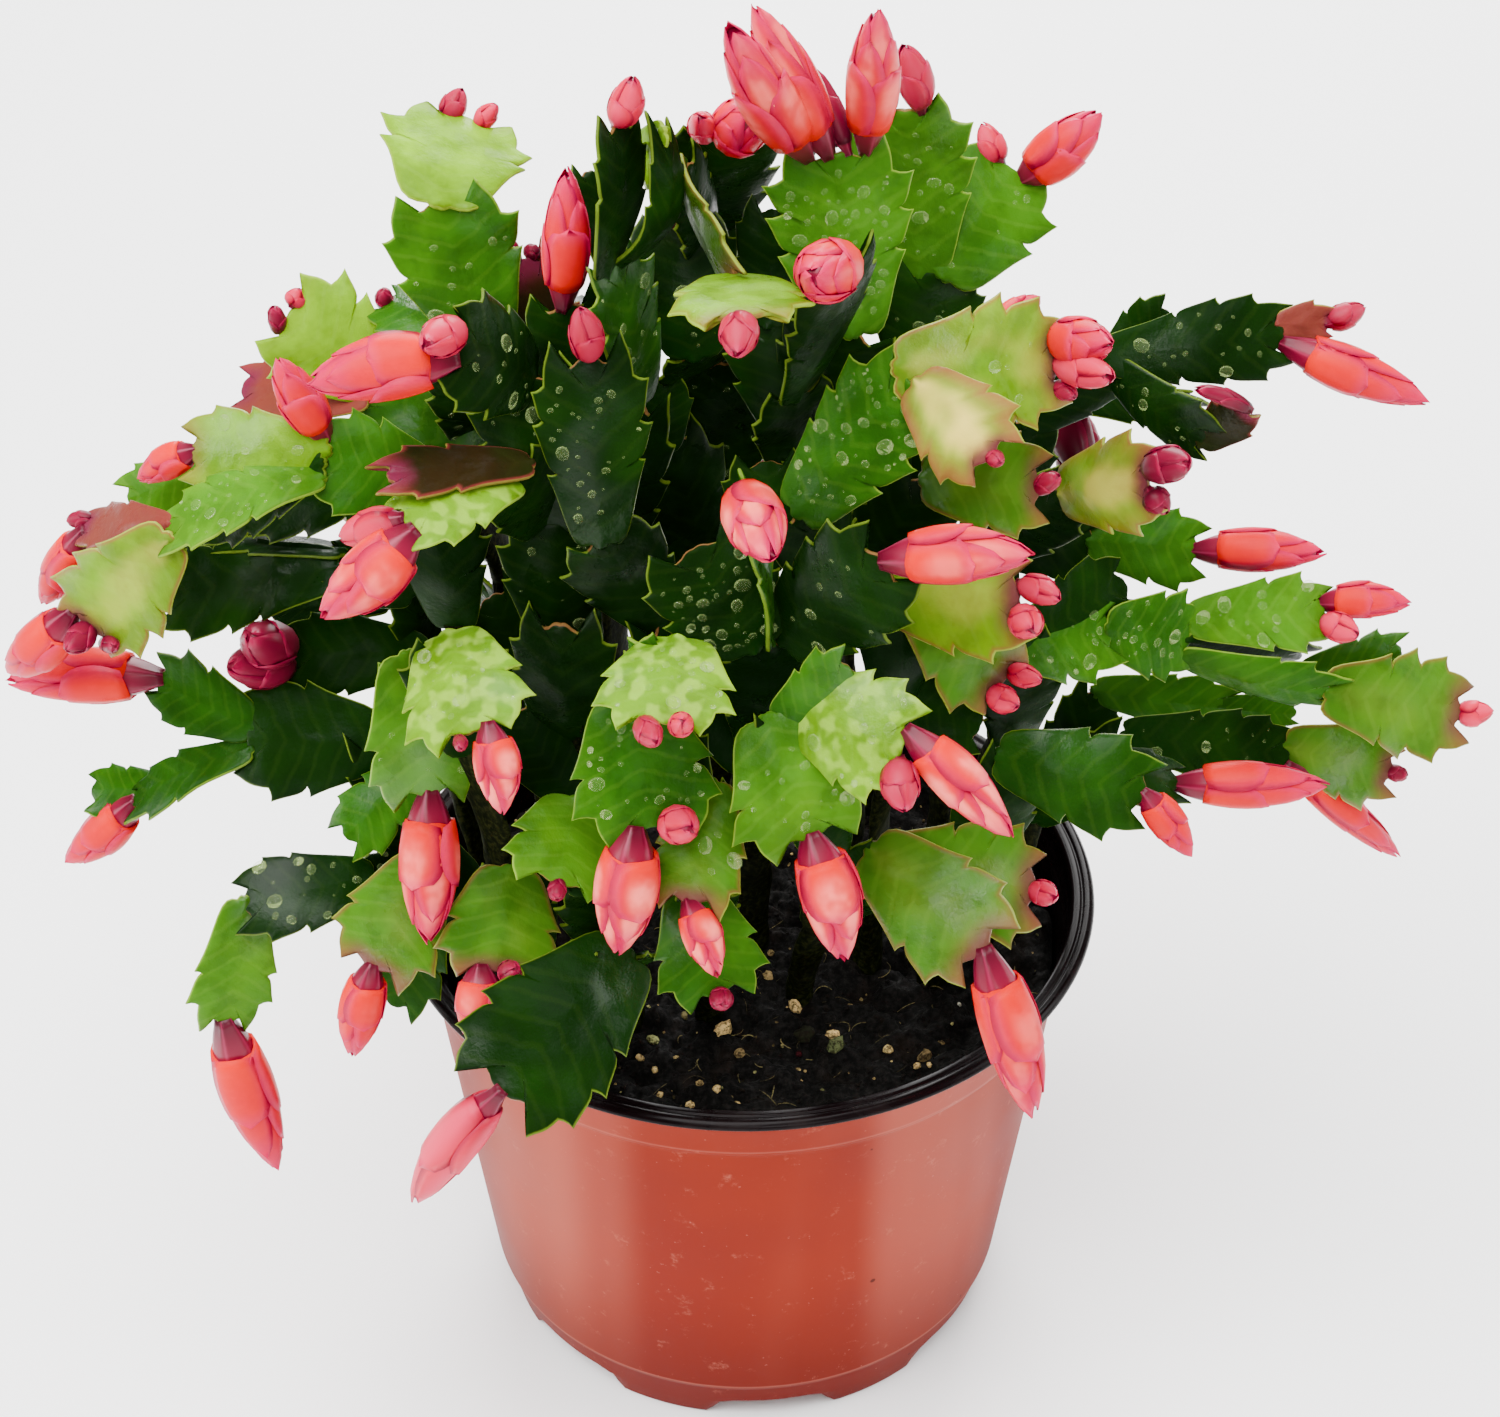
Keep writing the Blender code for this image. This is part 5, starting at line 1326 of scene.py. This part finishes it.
# The side away from the viewer: each stem repeats a front one, turned about the pot's axis by so many
# degrees
BACK_STEMS = {
    "stem_back_far_left": ("stem_right_lower", 133),
    "stem_back_low_left": ("stem_right_low_front", 163),
    "stem_back_left": ("stem_left_dark", -65),
    "stem_back_middle": ("stem_right_lower", 88),
    "stem_back_right": ("stem_right_middle", 61),
    "stem_back_far_right": ("stem_left_dark", -145),
}
print("segments and buds in front:", sum(len(stem["blades"]) for stem in STEMS.values()),
      sum(len(stem["buds"]) for stem in STEMS.values()))


# %% [markdown]
# ## Growing the stems
# Several things that grow from one tip start side by side across it. Each stem becomes up to four pieces:
# its flesh, its petals, its young buds and its bud tubes.

# %% Stems
# How far out one, two, three or more things start on a tip, as shares of its half width
TIP_SPREAD = (0.0, 0.26, 0.42, 0.46)
CANE_TIP_HALF = 8.0
# The photograph's buds are this much slimmer than the CAD's
SLIMMER = {"flower": 0.86, "young": 0.92, "dusky": 0.92, "knob": 0.92}


def share_out(tip, across, half_wide, growing):
    """Starting points for all that grows from one tip: side by side across it, in the order they lean."""
    leaning = sorted(growing, key=lambda spot: float(np.dot(seen(*spot) - tip, across)))
    reach = half_wide * TIP_SPREAD[min(len(leaning), len(TIP_SPREAD)) - 1]
    starts = {}
    for number, spot in enumerate(leaning):
        share = 2.0 * number / (len(leaning) - 1) - 1.0 if len(leaning) > 1 else 0.0
        starts[spot] = tip + across * (share * reach)
    return starts


def spun(part, degrees):
    """A part turned about the pot's axis: its points times a rotation matrix."""
    angle = math.radians(degrees)
    cosine, sine = math.cos(angle), math.sin(angle)
    matrix = np.array([[cosine, -sine, 0], [sine, cosine, 0], [0, 0, 1]])
    return part[0] @ matrix.T, part[1], part[2]


# %% One stem
def grow(row, degrees, seed):
    """All the parts of one stem: flesh, petals, young petals and tubes, and its segments by name. A
    stem that is turned to the back has no gap segments."""
    rng = np.random.default_rng(seed)
    joints = [at(*row["root"], SOIL_TOP + 3.0)] + [at(*joint) for joint in row["cane"]]
    flesh_parts = [cane_part(row["root"], row["cane"], rng)]
    step = unit(joints[-1] - joints[-2])
    side = cane_side(row["root"])
    across = unit(side - step * np.dot(step, side))
    growing = {}
    for parent, spot in [blade[1:3] for blade in row["blades"]] + [bud[:2] for bud in row["buds"]]:
        growing.setdefault(parent, []).append(spot)
    starts = share_out(joints[-1], across, CANE_TIP_HALF, growing.get("cane", []))
    for number in range(len(row["cane"])):
        starts.update(share_out(joints[number + 1], across, CANE_TIP_HALF,
                                growing.get("cane:%d" % number, [])))
    shapes = {}
    for blade, parent, spot, width, twist, bow, tint in row["blades"]:
        shape = Segment(starts[spot], seen(*spot), width, twist, bow, tint, rng)
        shapes[blade] = shape
        flesh_parts.append(segment_part(shape, tint, rng))
        starts.update(share_out(seen(*spot), shape.across, width / 2.0, growing.get(blade, [])))
    for base, tip, width, twist, bow, tint in row["gaps"] if degrees == 0 else ():
        shape = Segment(seen(*base), seen(*tip), width, twist, bow, tint, rng)
        flesh_parts.append(segment_part(shape, tint, rng))
    tubes, petals, young_petals = [], [], []
    for parent, spot, width, kind in row["buds"]:
        tube, layers = bud_parts(starts[spot], seen(*spot), width * SLIMMER[kind], kind, rng)
        tubes.append(tube)
        (petals if kind == "flower" else young_petals).extend(layers)
    parts = [flesh_parts, petals, young_petals, tubes]
    return [[spun(part, degrees) for part in group] for group in parts], shapes


# %% All the stems
leaf_shapes = {}
rows = [(name, row, 0) for name, row in STEMS.items()]
rows += [(name, STEMS[source], degrees) for name, (source, degrees) in BACK_STEMS.items()]
for number, (name, row, degrees) in enumerate(rows):
    groups, shapes = grow(row, degrees, 100 + number)
    if degrees == 0:
        leaf_shapes[name] = shapes
    for parts, (ending, look, slot, replaced) in zip(groups, (
            ("_flesh", flesh, "cactus_green", [name]), ("_petals", petal, "bud_petal", ()),
            ("_young_buds", young_petal, "bud_petal", ()), ("_bud_tubes", tube_skin, "bud_tube", ()))):
        if parts:
            add_piece(name + ending, parts, look, weld=0.002, slot=slot, replaces=replaced)
print("stems grown:", len(rows))


# %% [markdown]
# ## Drops
# Mist has left drops of many sizes on the upper faces, most of them small. Each drop is a low dome with a
# wavy foot, and its points say how near the foot they are.

# %% Drops of water
# How many drops stand on which segments
WET_ROWS = """
stem_top_right broad 60 right_front 22 right_mid 14 right_back 8 under 16
stem_top_left wet 16
stem_top_middle shade 6 heart 10
stem_left_upper nested 20 arch 10 low 8
stem_centre left 26 shade 46 broad 8
stem_right_upper wet 50 pale 10
stem_left_front wet 34 pale 8
stem_front left 26 top 30 bearer 8
stem_front_right right 36 middle 16
stem_right_middle wet 28 knee 18 pale 14
stem_left long 34 pale 12
stem_upper_left mid 16 low 8
stem_far_right arm 14 droop 8
stem_left_lower grey 16 down 8
stem_right_lower dark 14
"""
DROP_SIDES = 10


def drops_part(shape, count, rng):
    """Drops as flattened domes on a segment's upper face: at each angle up the dome, the ring's radius goes
    with its cosine and its height with its sine. A drop that would touch an earlier one is left out."""
    s, t = rng.uniform(0.12, 0.88, 3 * count), rng.uniform(-0.82, 0.82, 3 * count)
    t = t * np.interp(s, ENVELOPE[:, 0], ENVELOPE[:, 1])
    size = np.clip(0.62 * np.exp(rng.normal(0.0, 0.62, 3 * count)), 0.28, 1.7)
    ground, out = shape.point(s, t), -shape.normal(s, t)
    away = np.linalg.norm(ground[:, None] - ground[None], axis=-1)
    crowded = np.tril(away < 1.15 * (size[:, None] + size[None]), -1).any(axis=1)
    keep = np.flatnonzero(~crowded)[:count]
    ground, out, size = ground[keep], out[keep], size[keep]
    ground = ground + out * half_thickness(s[keep], 0.5, t[keep], False)[:, None]
    first = unit(np.cross(out, shape.across))
    second = np.cross(out, first)
    turn = np.arange(DROP_SIDES) * 2 * math.pi / DROP_SIDES
    rise = np.radians([0.0, 0.0, 24.0, 48.0, 70.0, 90.0])
    reach = np.cos(rise) * np.array([0.0, 1, 1, 1, 1, 1])
    wobble = 1.0 + 0.12 * np.cos(2 * turn + rng.uniform(0, 6.28, (len(size), 1)))
    ring = reach[None, :, None] * (wobble * size[:, None])[:, None, :]
    height = (np.sin(rise) * 0.36)[None, :, None] * size[:, None, None] - 0.03
    points = (ground[:, None, None] + first[:, None, None] * (ring * np.cos(turn))[..., None]
              + second[:, None, None] * (ring * np.sin(turn))[..., None]
              + out[:, None, None] * height[..., None])
    faces = repeated_faces(len(size), len(rise), DROP_SIDES)
    colour = np.zeros(points.shape[:3] + (4,))
    colour[..., 0] = np.cos(rise)[None, :, None] ** 2
    return points.reshape(-1, 3), faces, {"drop": colour.reshape(-1, 4)}


drop_dice = np.random.default_rng(5)
for name, *words in map(str.split, WET_ROWS.strip().splitlines()):
    drops = [drops_part(leaf_shapes[name][blade], int(count), drop_dice)
             for blade, count in zip(words[::2], words[1::2])]
    add_piece(name + "_drops", drops, water, weld=0.001, slot="water_drop")
print("stems with drops:", len(WET_ROWS.split("stem_")) - 1)


# %% [markdown]
# ## Light and floor
# A plain pale floor, a bright even sky and a few large soft lamps, as in a small photo tent.

# %% Floor, world and lamps
FLOOR_HALF = 2.5  # in metres
floor_look = new_material("pale_paper")
finish(floor_look, {"Base Color": washed(floor_look, "#FBFBFB", (noise(floor_look, 3.0, 2.0), "#FFFFFF")),
                    "Roughness": 0.9})
floor_mesh = bpy.data.meshes.new("floor")
corners = [(x * FLOOR_HALF, y * FLOOR_HALF, 0.0) for x, y in ((-1, -1), (1, -1), (1, 1), (-1, 1))]
floor_mesh.from_pydata(corners, [], [(0, 1, 2, 3)])
floor_mesh.materials.append(floor_look)
floor = bpy.data.objects.new("floor", floor_mesh)
bpy.context.scene.collection.objects.link(floor)

world = bpy.data.worlds.new("studio")
bpy.context.scene.world = world
world.use_nodes = True
sky = world.node_tree.nodes["Background"].inputs
sky["Color"].default_value = (1.0, 1.0, 1.0, 1.0)
sky["Strength"].default_value = 0.3
print("sky strength:", round(sky["Strength"].default_value, 2))

PLANT_MIDDLE = (0.0, 0.0, 0.16)


def lamp(name, place, size, power):
    """A square soft lamp of a size in metres and a power in watts, aimed at the middle of the plant."""
    data = bpy.data.lights.new(name, "AREA")
    data.size = size
    data.energy = power
    made = bpy.data.objects.new(name, data)
    made.location = place
    aim = np.array(PLANT_MIDDLE) - np.array(place)
    made.rotation_euler = Vector(aim).to_track_quat("-Z", "Y").to_euler()
    bpy.context.scene.collection.objects.link(made)


for name, place, size, power in (
        ("top", (-0.25, -0.35, 1.35), 1.3, 60.0), ("left", (-1.2, -0.2, 0.55), 0.8, 16.0),
        ("right", (1.2, 0.0, 0.6), 0.8, 12.0), ("front", (0.3, -1.5, 0.8), 0.6, 9.0),
        ("back", (0.1, 1.05, 0.85), 0.9, 38.0)):
    lamp(name, place, size, power)
print("lamps:", len(bpy.data.lights))
